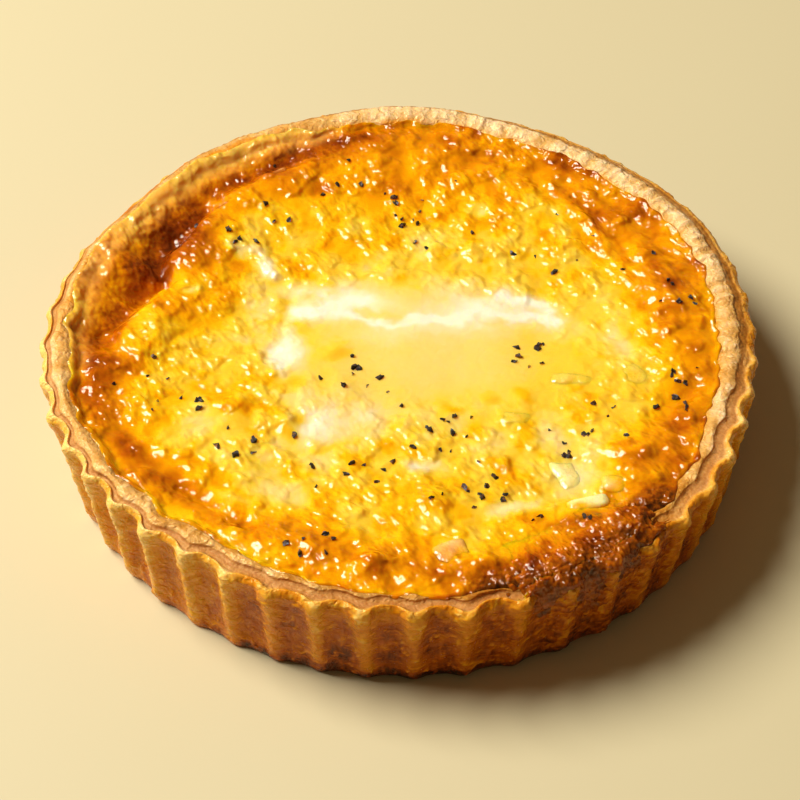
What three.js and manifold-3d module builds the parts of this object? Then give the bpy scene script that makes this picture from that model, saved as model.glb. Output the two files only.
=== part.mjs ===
// A baked quiche: a fluted pastry case with a trimmed, puffed rim, filled to the
// brim with browned custard. The custard has climbed and sunk along the back
// left of the rim, and has run over it at the front right. Pieces of cheese,
// onion and ham break the surface, and cracked pepper is baked into it.
//
// Millimetres, +Z up. The origin is the centre of the flat underside. Angles run
// anticlockwise from +X, in degrees.
import * as THREE from "three";
import { mergeVertices } from "three/addons/utils/BufferGeometryUtils.js";
import Module from "manifold-3d";

const wasm = await Module();
wasm.setup();

// ---- Driving dimensions -------------------------------------------------------

const RIM_RADIUS = 100; // mean radius of the rim's outer edge, on the ridges
const BASE_RADIUS = 97; // the same, where the wall turns into the base
const CASE_HEIGHT = 33; // base to the rim's trimmed face
const BASE_ROUNDING = 2.2;
const FLOOR_THICKNESS = 4.5;
const WALL_THICKNESS = 7; // at the foot of the inner wall

const FLUTES = 48;
const FLUTE_DEPTH = 2.6; // ridge to valley
const FLUTE_SHARPNESS = 1.5; // above 1 the ridges are narrower than the valleys
const FLUTE_PHASE = 2.2; // angle of the first ridge

const CUSTARD_LEVEL = 28.6; // at the middle
const SPILL_THICKNESS = 1.4; // of the custard that lies on the rim
const SPILL_CLEARANCE = 0.25; // more room under it, as the rim is uneven
const FIT_GAP = 0.3; // between neighbouring pieces

const PEPPER_SEED = 41;
const PEPPER_SMALLEST = 1.45; // flakes under this length are left out of the solid
const PEPPER_LARGEST = 2.5;

// ---- Small mathematics --------------------------------------------------------

const RADIANS = Math.PI / 180;
const clamp01 = (t) => Math.min(1, Math.max(0, t));
const mix = (a, b, t) => a + (b - a) * t;
const ease = (t) => clamp01(t) ** 2 * (3 - 2 * clamp01(t));
const step = (from, to, x) => ease((x - from) / (to - from));
const bell = (x, width) => Math.exp(-((x / width) ** 2));
const turnBetween = (a, b) => ((((a - b) % 360) + 540) % 360) - 180;

// A value that changes smoothly round the tart, from [angle, value] stations.
function around(stations) {
  return (angle) => {
    const a = ((angle % 360) + 360) % 360;
    const next = stations.findIndex(([station]) => station > a);
    const to = next < 0 ? stations[0] : stations[next];
    const from = stations[(next <= 0 ? stations.length : next) - 1];
    const span = (to[0] - from[0] + 360) % 360;
    return mix(from[1], to[1], ease(((a - from[0] + 360) % 360) / span));
  };
}

// Seeded random numbers from 0 to 1.
function randomFrom(seed) {
  let state = seed;
  return () => {
    state = (state + 0x6d2b79f5) | 0;
    let t = Math.imul(state ^ (state >>> 15), 1 | state);
    t = (t + Math.imul(t ^ (t >>> 7), 61 | t)) ^ t;
    return ((t ^ (t >>> 14)) >>> 0) / 4294967296;
  };
}

// ---- How the baked case leaves a true circle ----------------------------------

const rimOut = around([
  [0, -0.8], [28, 1.5], [55, -0.6], [75, 0.2], [90, 0.4], [108, -0.4], [125, 0.1],
  [146, -1.6], [165, 0.3], [184, 1.5], [200, 0.7], [220, -0.4], [240, -1.6],
  [258, 0.2], [280, 0.8], [306, 1.2], [322, 0.6], [340, -0.8],
]);
const rimUp = around([
  [0, -0.2], [40, 0.2], [72, 0.1], [90, 1.3], [112, 0.6], [150, 0.1], [185, 0.5],
  [225, 0.3], [265, 0.1], [292, -0.7], [304, -1.6], [316, -0.9], [335, -0.1],
]);
const bandWidth = around([
  [0, 3.8], [60, 3.2], [110, 2.8], [150, 2.2], [180, 1.8], [228, 2], [243, 4.2],
  [290, 4.2], [335, 5.4],
]);
const lipWidth = around([
  [0, 6], [50, 6.4], [90, 4.6], [150, 4], [185, 6.6], [225, 6.4], [262, 3.2],
  [300, 3], [330, 3.6],
]);
const lipRise = around([
  [0, 1.1], [50, 1.2], [110, 0.6], [160, 0.5], [185, 1.1], [225, 1], [265, 0.3],
  [304, 0], [335, 0.5],
]);

// Share of a full ridge at an angle: 1 on a ridge, 0 in a valley.
function ridge(angle) {
  const drift = 0.5 * Math.sin(3 * angle * RADIANS + 1) + 0.35 * Math.sin(7 * angle * RADIANS);
  const phase = FLUTES * (angle - FLUTE_PHASE + drift) * RADIANS;
  return (0.5 + 0.5 * Math.cos(phase)) ** FLUTE_SHARPNESS;
}

const fluteDepth = (angle) => FLUTE_DEPTH * (1 + 0.18 * Math.sin(5 * angle * RADIANS + 2));

// The case's section at an angle: every named point is [radius, height].
function caseSection(angle) {
  const top = CASE_HEIGHT + rimUp(angle);
  const edge = RIM_RADIUS + rimOut(angle);
  const hollow = fluteDepth(angle) * (1 - ridge(angle));
  const wall = (share, flutes) => [
    mix(BASE_RADIUS, edge + 0.4, share ** 0.7) - hollow * flutes,
    share * top,
  ];
  const foot = wall(BASE_ROUNDING / top, 0.8);
  const band = edge - bandWidth(angle);
  const lip = lipWidth(angle);
  const innerWall = band - lip;
  return {
    underside: [foot[0] - BASE_ROUNDING, 0],
    foot,
    lowWall: wall(0.26, 1),
    midWall: wall(0.5, 1),
    highWall: wall(0.74, 1),
    underRim: wall(0.9, 0.92),
    outerEdge: [edge - 0.6 - 0.75 * hollow, top - 1.3],
    bandEdge: [band - 0.35 * hollow, top - 0.3],
    lipCrest: [band - 0.4 * lip, top + lipRise(angle)],
    lipInside: [innerWall, top - 1.4],
    innerWall: [innerWall - 0.8, top - 6],
    innerFoot: [BASE_RADIUS - WALL_THICKNESS - 2.5, FLOOR_THICKNESS + 3],
    floorEdge: [BASE_RADIUS - WALL_THICKNESS - 6, FLOOR_THICKNESS],
  };
}

// ---- The custard's surface ----------------------------------------------------

const custardEdge = around([
  [0, 31.4], [60, 31.2], [100, 31.4], [150, 31.2], [180, 30.8], [225, 30.6],
  [250, 32.4], [285, 33], [304, 33.6], [320, 32.4], [340, 31.4],
]);
// Where it has run over the rim, it is first lifted clear of the lip, then led out.
const spillRise = around([[282, 0], [288, 1], [320, 1], [326, 0]]);
const spillReach = around([[289, 0], [297, 1], [313, 1], [319, 0]]);
const creaseDepth = around([
  [100, 0.4], [118, 3], [140, 6.2], [165, 6.6], [178, 4], [188, 0.8], [215, 0.8],
  [230, 0], [340, 0],
]);
const creasePlace = around([ // share of the way from the middle to the lip
  [100, 0.93], [118, 0.92], [138, 0.89], [152, 0.88], [160, 0.81], [168, 0.85], [178, 0.9],
]);

// Swellings: centre, half lengths along and across, heading and rise.
const MOUNDS = [
  { at: [-20, -78], half: [25, 8], heading: -6, rise: 1.5 }, // skin at the front
  { at: [-7, -84], half: [5, 3.4], heading: 12, rise: 1.4 }, // blister in that skin
  { at: [20, -84], half: [12, 4], heading: 8, rise: 1 },
  { at: [-83, -11], half: [11, 7], heading: 80, rise: 2.2 }, // scorched swelling, left
  { at: [-68, 8], half: [13, 8], heading: 60, rise: 1.6 },
  { at: [-60, 38], half: [10, 12], heading: 60, rise: 1.8 }, // brow over the crease
  { at: [-38, 66], half: [16, 7], heading: 35, rise: 1.4 },
  { at: [61, -42], half: [9, 4.4], heading: 16, rise: 1.7 }, // blister, right
  { at: [46, -69], half: [4.6, 4.6], heading: 0, rise: 2.2 }, // scorched knob
  { at: [60, -66], half: [17, 7], heading: 48, rise: 1.6 }, // along the overflow
  { at: [78, 10], half: [26, 8], heading: 98, rise: 1 },
  { at: [-46, -42], half: [6, 15], heading: 10, rise: 1 },
  { at: [12, -62], half: [8, 7], heading: 0, rise: 0.9 },
  { at: [5, 84], half: [22, 6], heading: 0, rise: 1 },
];
// Grooves, or ridges where the depth is negative: ends, half width and depth.
const GROOVES = [
  { from: [-34, 27], to: [-37, -6], half: 2, depth: 1.2 }, // crack left of the middle
  { from: [-58, 47], to: [-37, 30], half: 3, depth: -0.8 }, // pale fold
  { from: [-60, -56], to: [-42, -69], half: 2.6, depth: 1.5 },
  { from: [-30, 14], to: [48, 11], half: 9, depth: 0.8 }, // sunken pale band
  { from: [39, 70], to: [58, 33], half: 3, depth: 1.1 }, // wrinkles at the right
  { from: [49, 66], to: [68, 32], half: 2.6, depth: 1.2 },
  { from: [59, 64], to: [77, 34], half: 2.6, depth: 0.9 },
  { from: [71, -30], to: [84, -16], half: 3, depth: 1.2 },
  { from: [30, -58], to: [56, -60], half: 3, depth: 1.3 }, // dip by the cheese
];

function mound({ at, half, heading, rise }, x, y) {
  const c = Math.cos(heading * RADIANS);
  const s = Math.sin(heading * RADIANS);
  const along = (x - at[0]) * c + (y - at[1]) * s;
  const across = (y - at[1]) * c - (x - at[0]) * s;
  return rise * bell(Math.hypot(along / half[0], across / half[1]), 1);
}

function groove({ from, to, half, depth }, x, y) {
  const run = [to[0] - from[0], to[1] - from[1]];
  const t = ((x - from[0]) * run[0] + (y - from[1]) * run[1]) / (run[0] ** 2 + run[1] ** 2);
  const near = clamp01(t);
  const away = Math.hypot(x - from[0] - near * run[0], y - from[1] - near * run[1]);
  return depth * bell(away, half);
}

function custardHeight(x, y) {
  const angle = Math.atan2(y, x) / RADIANS;
  const share = Math.hypot(x, y) / caseSection(angle).lipInside[0];
  const outwards = share - creasePlace(angle);
  const crease = creaseDepth(angle) * bell(outwards, outwards > 0 ? 0.085 : 0.04);
  const swell = 0.5 * Math.sin(x / 13 + 1.3) * Math.sin(y / 11 + 0.4);
  const ripple = 0.3 * Math.sin((x + y) / 7.5 + 2.1) * Math.sin((x - y) / 9 + 0.7);
  const calm = 1 - step(0.86, 1, share);
  const forms =
    MOUNDS.reduce((sum, m) => sum + mound(m, x, y), 0) -
    GROOVES.reduce((sum, g) => sum + groove(g, x, y), 0);
  return (
    mix(CUSTARD_LEVEL, custardEdge(angle), step(0.5, 1, share)) -
    crease +
    calm * (swell + ripple) +
    (1 - step(0.94, 1, share)) * forms
  );
}

// ---- Meshes and solids --------------------------------------------------------

const anglesOf = (count) => Array.from({ length: count }, (_, i) => FLUTE_PHASE + (i * 360) / count);

// A ring of points: at(angle) gives [radius, height].
const ringOf = (count, at) =>
  anglesOf(count).map((angle) => {
    const [radius, height] = at(angle);
    return [radius * Math.cos(angle * RADIANS), radius * Math.sin(angle * RADIANS), height];
  });

// Joins rings of points, from the middle of the underside up and over to the
// middle of the top, into one closed geometry facing out.
function skinOver(rings) {
  const points = rings.flat();
  const faces = [];
  let start = 0;
  for (let k = 0; k + 1 < rings.length; k++) {
    const [low, high] = [rings[k].length, rings[k + 1].length];
    const next = start + low;
    let [i, j] = [0, 0];
    while (i < low || j < high) {
      const lowFirst = low > 1 && i < low && (j >= high || high === 1 || (i + 1) / low <= (j + 1) / high);
      if (lowFirst) faces.push([start + (i % low), start + ((i + 1) % low), next + (j % high)]);
      else if (high > 1) faces.push([start + (i % low), next + ((j + 1) % high), next + (j % high)]);
      if (lowFirst) i++;
      else j++;
      if ((low === 1 && j >= high) || (high === 1 && i >= low)) break;
    }
    start = next;
  }
  const geometry = new THREE.BufferGeometry();
  geometry.setAttribute("position", new THREE.Float32BufferAttribute(points.flat(), 3));
  geometry.setIndex(faces.flat());
  return geometry;
}

// A closed geometry as a solid that can be joined and cut.
function solidOf(geometry) {
  const bare = geometry.clone();
  bare.deleteAttribute("normal");
  bare.deleteAttribute("uv");
  const merged = mergeVertices(bare, 1e-4);
  return new wasm.Manifold(
    new wasm.Mesh({
      numProp: 3,
      vertProperties: new Float32Array(merged.attributes.position.array),
      triVerts: new Uint32Array(merged.index.array),
    }),
  );
}

function geometryOf(solid) {
  const mesh = solid.getMesh();
  const geometry = new THREE.BufferGeometry();
  geometry.setAttribute("position", new THREE.BufferAttribute(new Float32Array(mesh.vertProperties), 3));
  geometry.setIndex(new THREE.BufferAttribute(new Uint32Array(mesh.triVerts), 1));
  return geometry;
}

// ---- Pastry case --------------------------------------------------------------

function caseGeometry() {
  const ring = (count, name) => ringOf(count, (angle) => caseSection(angle)[name]);
  const outside = ["underside", "foot", "lowWall", "midWall", "highWall", "underRim"];
  const rim = ["outerEdge", "bandEdge", "lipCrest"];
  const inside = ["lipInside", "innerWall", "innerFoot"];
  return skinOver([
    [[0, 0, 0]],
    ...outside.map((name) => ring(FLUTES * 6, name)),
    ...rim.map((name) => ring(FLUTES * 6, name)),
    ...inside.map((name) => ring(FLUTES * 2, name)),
    ring(FLUTES, "floorEdge"),
    [[0, 0, FLOOR_THICKNESS]],
  ]);
}

// ---- Custard ------------------------------------------------------------------

// The custard's outline where it meets the case: a gap inside the wall, and over
// the rim where it has run over.
function custardRim(angle) {
  const { lipInside, lipCrest, innerWall, innerFoot, floorEdge, outerEdge } = caseSection(angle);
  const wallAt = (height) => {
    const share = clamp01((height - innerWall[1]) / (lipInside[1] - innerWall[1]));
    return mix(innerWall[0], lipInside[0], share) - FIT_GAP;
  };
  const shelf = lipCrest[1] + FIT_GAP + SPILL_CLEARANCE;
  const edge = custardEdge(angle);
  const raised = (height) => mix(height, shelf, spillRise(angle));
  const reach = (height) => mix(wallAt(height), outerEdge[0], spillReach(angle));
  return {
    top: [reach(edge) - 0.5, Math.max(edge, raised(edge) + mix(0, SPILL_THICKNESS, spillRise(angle)))],
    under: [reach(edge - 0.9), raised(edge - 0.9)],
    shelf: [wallAt(edge - 1.6), raised(edge - 1.6)],
    side: [innerWall[0] - FIT_GAP, innerWall[1]],
    foot: [innerFoot[0] - FIT_GAP, innerFoot[1] + FIT_GAP],
    floor: [floorEdge[0] - FIT_GAP, FLOOR_THICKNESS + FIT_GAP],
  };
}

// Rings of the custard's top: share of the way out, and number of points.
const CUSTARD_RINGS = [
  [0.985, 120], [0.95, 120], [0.91, 96], [0.87, 96], [0.83, 96], [0.77, 72], [0.7, 72],
  [0.63, 72], [0.55, 60], [0.47, 48], [0.39, 48], [0.31, 36], [0.22, 24], [0.13, 16],
  [0.05, 8],
];

function custardGeometry() {
  const wrap = (count, name) => ringOf(count, (angle) => custardRim(angle)[name]);
  const surface = ([share, count]) =>
    ringOf(count, (angle) => {
      const radius = share * (caseSection(angle).lipInside[0] - FIT_GAP);
      const [x, y] = [radius * Math.cos(angle * RADIANS), radius * Math.sin(angle * RADIANS)];
      return [radius, custardHeight(x, y) + spillRise(angle) * step(0.86, 1, share)];
    });
  return skinOver([
    [[0, 0, FLOOR_THICKNESS + FIT_GAP]],
    wrap(FLUTES, "floor"),
    ...["foot", "side", "shelf"].map((name) => wrap(FLUTES * 2, name)),
    ...["under", "top"].map((name) => wrap(FLUTES * 3, name)),
    ...CUSTARD_RINGS.map(surface),
    [[0, 0, custardHeight(0, 0)]],
  ]);
}

// ---- Pieces that break the surface --------------------------------------------

// Centre, full size, heading, height above the custard, and how square it is.
const FILLING_PIECES = [
  { name: "cheese_chunk_1", at: [44.5, -50.5], size: [8, 13, 9], heading: 20, proud: 0.3, square: 6 },
  { name: "cheese_chunk_2", at: [49, -62.5], size: [12, 5.5, 8], heading: 12, proud: 0.7, square: 6 },
  { name: "onion_piece_1", at: [64.5, -13.5], size: [11, 8.5, 4], heading: 115, proud: 0.5, square: 3 },
  { name: "onion_piece_2", at: [48, -15], size: [14, 5.5, 4], heading: -12, proud: 0.35, square: 3 },
  { name: "onion_piece_3", at: [31, -29], size: [9.5, 5.5, 4], heading: -6, proud: 0.35, square: 3 },
  { name: "onion_piece_4", at: [-25, 73.5], size: [13.5, 7, 5], heading: 12, proud: 0.5, square: 3 },
  { name: "onion_piece_5", at: [57.5, -54.5], size: [10, 6.5, 4.5], heading: 6, proud: 0.6, square: 3 },
  { name: "ham_piece_1", at: [-38, 69.5], size: [7.5, 4, 4], heading: 38, proud: 0.7, square: 4 },
  { name: "ham_piece_2", at: [12.5, -79.5], size: [9.5, 8, 5], heading: 20, proud: 0.5, square: 4 },
];

// A rounded block: a divided box drawn onto a squared-off ball, then bent a little.
function lumpGeometry(piece, growth = 0) {
  const geometry = new THREE.BoxGeometry(2, 2, 2, 3, 2, 2);
  const position = geometry.attributes.position;
  const half = piece.size.map((length) => length / 2);
  const p = new THREE.Vector3();
  for (let i = 0; i < position.count; i++) {
    p.fromBufferAttribute(position, i);
    const n = piece.square;
    p.divideScalar((Math.abs(p.x) ** n + Math.abs(p.y) ** n + Math.abs(p.z) ** n) ** (1 / n));
    const bend = 0.12 * half[1] * Math.sin(2 * p.x + half[0]);
    p.set(p.x * (half[0] + growth), p.y * (half[1] + growth) + bend, p.z * (half[2] + growth));
    position.setXYZ(i, p.x, p.y, p.z);
  }
  const [x, y] = piece.at;
  const centre = custardHeight(x, y) + piece.proud - half[2];
  return geometry.rotateZ(piece.heading * RADIANS).translate(x, y, centre);
}

// ---- Pepper -------------------------------------------------------------------

// Where the pepper fell thickest: centre, spread and number of flakes.
const PEPPER_CLUSTERS = [
  { at: [18, -55], spread: [9, 7], count: 12 },
  { at: [13, -35], spread: [9, 7], count: 12 },
  { at: [49, -36], spread: [7, 9], count: 11 },
  { at: [72, -20], spread: [8, 11], count: 13 },
  { at: [38, -5], spread: [11, 5], count: 8 },
  { at: [-14, -14], spread: [7, 8], count: 10 },
  { at: [-13, -48], spread: [8, 5], count: 7 },
  { at: [-39, -41], spread: [8, 6], count: 6 },
  { at: [-63, -21], spread: [12, 9], count: 11 },
  { at: [1, 54], spread: [9, 9], count: 12 },
  { at: [-20, 71], spread: [11, 6], count: 10 },
  { at: [-50, 45], spread: [11, 8], count: 8 },
  { at: [37, 42], spread: [13, 11], count: 8 },
  { at: [75, 20], spread: [7, 13], count: 9 },
  { at: [-20, -78], spread: [9, 4], count: 6 },
  { at: [45, -69], spread: [10, 5], count: 7 },
];

// Every flake: place, lengths along its three axes, and turns about them.
function pepperFlakes() {
  const random = randomFrom(PEPPER_SEED);
  const spreadOut = () => random() + random() + random() - 1.5;
  return PEPPER_CLUSTERS.flatMap(({ at, spread, count }) =>
    Array.from({ length: count }, () => {
      const place = [at[0] + 1.5 * spread[0] * spreadOut(), at[1] + 1.5 * spread[1] * spreadOut()];
      const length = mix(0.9, PEPPER_LARGEST, random() ** 1.3);
      return {
        place,
        size: [length, length * mix(0.5, 0.85, random()), length * mix(0.45, 0.7, random())],
        turns: [random(), random(), random()].map((share) => share * 360),
      };
    }),
  );
}

function flakeGeometry({ place: [x, y], size, turns }) {
  return new THREE.IcosahedronGeometry(0.5, 0)
    .scale(...size)
    .rotateX(0.15 * turns[0] * RADIANS)
    .rotateZ(turns[2] * RADIANS)
    .translate(x, y, custardHeight(x, y) + 0.12 * size[2]);
}

// A flake stays out of the solid where it is small, by the rim, or by a piece.
function flakeFits({ place: [x, y], size }) {
  const angle = Math.atan2(y, x) / RADIANS;
  const roomy = Math.hypot(x, y) < caseSection(angle).lipInside[0] - 5;
  const clear = FILLING_PIECES.every(
    (piece) => Math.hypot(x - piece.at[0], y - piece.at[1]) > Math.max(...piece.size) / 2 + 2,
  );
  return size[0] >= PEPPER_SMALLEST && roomy && clear;
}

// ---- The part -----------------------------------------------------------------

const finishes = {
  pastry: new THREE.MeshStandardMaterial({ color: 0xc98a3c, roughness: 0.55 }),
  custard: new THREE.MeshStandardMaterial({ color: 0xf2b01e, roughness: 0.3 }),
  cheese: new THREE.MeshStandardMaterial({ color: 0xf7e3a4, roughness: 0.4 }),
  onion: new THREE.MeshStandardMaterial({ color: 0xdcc79b, roughness: 0.3 }),
  ham: new THREE.MeshStandardMaterial({ color: 0xc98f72, roughness: 0.45 }),
};

function named(name, geometry, material) {
  geometry.computeVertexNormals();
  const mesh = new THREE.Mesh(geometry, material);
  mesh.name = name;
  return mesh;
}

const pepper = pepperFlakes().filter(flakeFits).map((flake) => solidOf(flakeGeometry(flake)));
const pockets = FILLING_PIECES.map((piece) => solidOf(lumpGeometry(piece, FIT_GAP)));
const custard = wasm.Manifold.union([solidOf(custardGeometry()), ...pepper]).subtract(
  wasm.Manifold.union(pockets),
);

const quiche = new THREE.Group();
quiche.name = "quiche";
quiche.add(
  named("crust", caseGeometry(), finishes.pastry),
  named("custard", geometryOf(custard), finishes.custard),
);
for (const piece of FILLING_PIECES) {
  const finish = finishes[piece.name.split("_")[0]];
  quiche.add(named(piece.name, lumpGeometry(piece), finish));
}

export default quiche;
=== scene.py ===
"""A baked quiche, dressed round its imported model.

The pastry case, the custard, the burnt overflow, the pieces of filling and the
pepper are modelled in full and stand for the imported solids. Shapes are worked
out in millimetres and become metres when a mesh is made. The origin is the
centre of the underside, +Z is up, and angles run anticlockwise from +X.
"""

import itertools
import logging
import math
from collections.abc import Iterator
from dataclasses import dataclass, field
from enum import Enum
from typing import Any, ClassVar

import bpy
import numpy as np
import numpy.typing as npt
from mathutils.bvhtree import BVHTree
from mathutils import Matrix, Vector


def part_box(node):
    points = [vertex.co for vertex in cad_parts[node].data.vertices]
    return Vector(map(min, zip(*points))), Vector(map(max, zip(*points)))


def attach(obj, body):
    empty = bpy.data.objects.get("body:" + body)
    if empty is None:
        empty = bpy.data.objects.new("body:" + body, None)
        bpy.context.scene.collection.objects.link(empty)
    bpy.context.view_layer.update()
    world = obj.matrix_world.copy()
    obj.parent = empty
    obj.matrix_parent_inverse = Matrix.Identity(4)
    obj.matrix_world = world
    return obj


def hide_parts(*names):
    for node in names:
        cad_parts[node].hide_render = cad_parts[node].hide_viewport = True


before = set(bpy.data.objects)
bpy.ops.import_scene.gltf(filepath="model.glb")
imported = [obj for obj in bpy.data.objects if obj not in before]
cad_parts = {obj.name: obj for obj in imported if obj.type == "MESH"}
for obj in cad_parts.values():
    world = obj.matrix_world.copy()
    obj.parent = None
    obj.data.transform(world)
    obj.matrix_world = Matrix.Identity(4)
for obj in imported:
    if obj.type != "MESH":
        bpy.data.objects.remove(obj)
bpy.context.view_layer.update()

MM = 0.001
ABOVE_ALL = 100.0  # A height in millimetres that nothing reaches.
ROOT = "root"

Numbers = npt.NDArray[np.float64]
Point = tuple[float, float]
Triple = tuple[float, float, float]
Colour = tuple[float, float, float]
Stops = tuple[tuple[float, Colour], ...]
Log = logging.getLogger("quiche")


# ---- Small mathematics -----------------------------------------------------------


def ease(share: Numbers) -> Numbers:
    """Smooths a share from 0 to 1, and holds it there outside that range."""
    held = np.clip(share, 0.0, 1.0)
    return held * held * (3.0 - 2.0 * held)


def step(low: float, high: float, value: Numbers) -> Numbers:
    """Rises smoothly from 0 at low to 1 at high, which may be the smaller one."""
    return ease((value - low) / (high - low))


def bell(value: Numbers, width: float | Numbers) -> Numbers:
    """A bump of height 1 at 0 that has nearly gone at twice the width."""
    return np.exp(-((value / width) ** 2))


def mix(first: Numbers, second: Numbers, share: Numbers) -> Numbers:
    """Goes from first to second as share goes from 0 to 1."""
    return first + (second - first) * share


def half_turn(degrees: Numbers) -> Numbers:
    """Turns an angle into the same angle between -180 and 180."""
    return np.mod(degrees + 180.0, 360.0) - 180.0


@dataclass(frozen=True)
class RoundTheCase:
    """A value that changes smoothly round the tart.

    Attributes:
        stations: Pairs of an angle in degrees, in rising order, and the value there.
    """

    stations: tuple[Point, ...]

    def at(self, degrees: Numbers) -> Numbers:
        """The value at each angle.

        Args:
            degrees: Angles, in degrees.

        Returns:
            The values, eased from each station to the next.
        """
        places, values = np.array(self.stations).T
        turned = np.mod(degrees, 360.0)
        after = np.mod(np.searchsorted(places, turned, side="right"), len(places))
        before = np.mod(after - 1, len(places))
        span = np.mod(places[after] - places[before], 360.0)
        return mix(values[before], values[after], ease(np.mod(turned - places[before], 360.0) / span))


@dataclass(frozen=True)
class Spot:
    """An oval place on the custard, with a soft and ragged edge.

    Attributes:
        at: Its centre.
        half: Half its length and half its width.
        heading: The direction of its length, in degrees from +X.
        amount: How much it adds at its middle.
    """

    FADE: ClassVar[Point] = (0.15, 1.6)
    at: Point
    half: Point
    heading: float
    amount: float

    def reach(self, x: Numbers, y: Numbers) -> Numbers:
        """How far out each point is, as a share of the oval's own radius.

        Args:
            x: Points' x.
            y: Points' y.

        Returns:
            0 at the oval's middle and 1 at its edge.
        """
        turn = math.radians(self.heading)
        along = (x - self.at[0]) * math.cos(turn) + (y - self.at[1]) * math.sin(turn)
        across = (y - self.at[1]) * math.cos(turn) - (x - self.at[0]) * math.sin(turn)
        return np.hypot(along / self.half[0], across / self.half[1])

    def mound(self, x: Numbers, y: Numbers) -> Numbers:
        """The amount as a rounded swelling."""
        return self.amount * bell(self.reach(x, y), 1.0)

    def stain(self, x: Numbers, y: Numbers) -> Numbers:
        """The amount as a patch that fades away from its middle."""
        return self.amount * (1.0 - step(*self.FADE, self.reach(x, y)))


@dataclass(frozen=True)
class Line:
    """A bent line on the custard, such as a crease, a crack or a long stain.

    Attributes:
        through: The points that it joins.
        half: Half its width.
        amount: How much it adds along its middle.
    """

    through: tuple[Point, ...]
    half: float
    amount: float

    def away(self, x: Numbers, y: Numbers) -> Numbers:
        """The distance of each point from the line.

        Args:
            x: Points' x.
            y: Points' y.

        Returns:
            Their distances.
        """
        nearest = np.full(x.shape, np.inf)
        for (x0, y0), (x1, y1) in zip(self.through, self.through[1:]):
            run = (x1 - x0, y1 - y0)
            share = ((x - x0) * run[0] + (y - y0) * run[1]) / (run[0] ** 2 + run[1] ** 2)
            held = np.clip(share, 0.0, 1.0)
            nearest = np.minimum(nearest, np.hypot(x - x0 - held * run[0], y - y0 - held * run[1]))
        return nearest

    def on(self, x: Numbers, y: Numbers) -> Numbers:
        """The amount, falling off to both sides of the line."""
        return self.amount * bell(self.away(x, y), self.half)


class SolidNoise:
    """Seeded smooth noise in space, from about -1 to 1."""

    CELLS = 256
    FULL_RANGE = 1.7
    CREST_RANGE = 1.6
    LAYER_SHIFT = 17.3
    CREST_SHIFT = 31.7

    def __init__(self, seed: int) -> None:
        """Draws the noise's directions.

        Args:
            seed: What makes this noise differ from others.
        """
        draw = np.random.default_rng(seed)
        self.order = draw.permutation(self.CELLS)
        directions = draw.normal(size=(self.CELLS, 3))
        self.directions = directions / np.linalg.norm(directions, axis=1, keepdims=True)

    def at(self, points: Numbers) -> Numbers:
        """The noise at points, with features about one unit across.

        Args:
            points: Rows of x, y and z.

        Returns:
            One value a point.
        """
        cell = np.floor(points).astype(int)
        inside = points - cell
        fade = inside**3 * (inside * (inside * 6.0 - 15.0) + 10.0)
        total = np.zeros(len(points))
        last = self.CELLS - 1
        for corner in itertools.product((0, 1), repeat=3):
            place = cell + corner
            slot = self.order[place[:, 0] & last]
            slot = self.order[(slot + place[:, 1]) & last]
            slot = self.order[(slot + place[:, 2]) & last]
            slope = ((inside - corner) * self.directions[slot]).sum(axis=1)
            total += slope * np.where(np.array(corner) == 1, fade, 1.0 - fade).prod(axis=1)
        return self.FULL_RANGE * total

    def layered(self, points: Numbers, size: float, layers: int = 3, fade: float = 0.5) -> Numbers:
        """Several layers of noise, each finer and weaker than the last.

        Args:
            points: Rows of x, y and z.
            size: Size of the largest features.
            layers: How many layers there are.
            fade: Strength of a layer against the one before it.

        Returns:
            One value a point, from about -1 to 1.
        """
        total = np.zeros(len(points))
        for layer in range(layers):
            total += fade**layer * self.at(points * 2.0**layer / size + self.LAYER_SHIFT * layer)
        return total / sum(fade**layer for layer in range(layers))

    def ridged(self, points: Numbers, size: float, layers: int = 2, fade: float = 0.5) -> Numbers:
        """Sharp crests that wander between rounded hollows.

        Args:
            points: Rows of x, y and z.
            size: Size of the largest features.
            layers: How many layers there are.
            fade: Strength of a layer against the one before it.

        Returns:
            One value a point, from 0 in a hollow to 1 on a crest.
        """
        total = np.zeros(len(points))
        for layer in range(layers):
            value = self.at(points * 2.0**layer / size + self.CREST_SHIFT * layer)
            total += fade**layer * (1.0 - np.minimum(np.abs(value) * self.CREST_RANGE, 1.0)) ** 2
        return total / sum(fade**layer for layer in range(layers))


def around(radius: float | Numbers, turn: Numbers, height: float | Numbers) -> Numbers:
    """Points round the Z axis, from their radius, their angle in radians and their height."""
    x, y = radius * np.cos(turn), radius * np.sin(turn)
    return np.stack([x, y, np.broadcast_to(height, x.shape)], axis=-1)


def plane_points(x: Numbers, y: Numbers, heading: float = 0.0, stretch: float = 1.0) -> Numbers:
    """Points of a plane for reading noise, which can be drawn out one way.

    Args:
        x: Their x.
        y: Their y.
        heading: The direction in which features are drawn out, in degrees.
        stretch: How many times longer they get.

    Returns:
        Rows of three numbers.
    """
    turn = math.radians(heading)
    along = x * math.cos(turn) + y * math.sin(turn)
    across = y * math.cos(turn) - x * math.sin(turn)
    return np.stack([along / stretch, across, np.zeros_like(x)], axis=-1)


# ---- Meshes ----------------------------------------------------------------------


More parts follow.
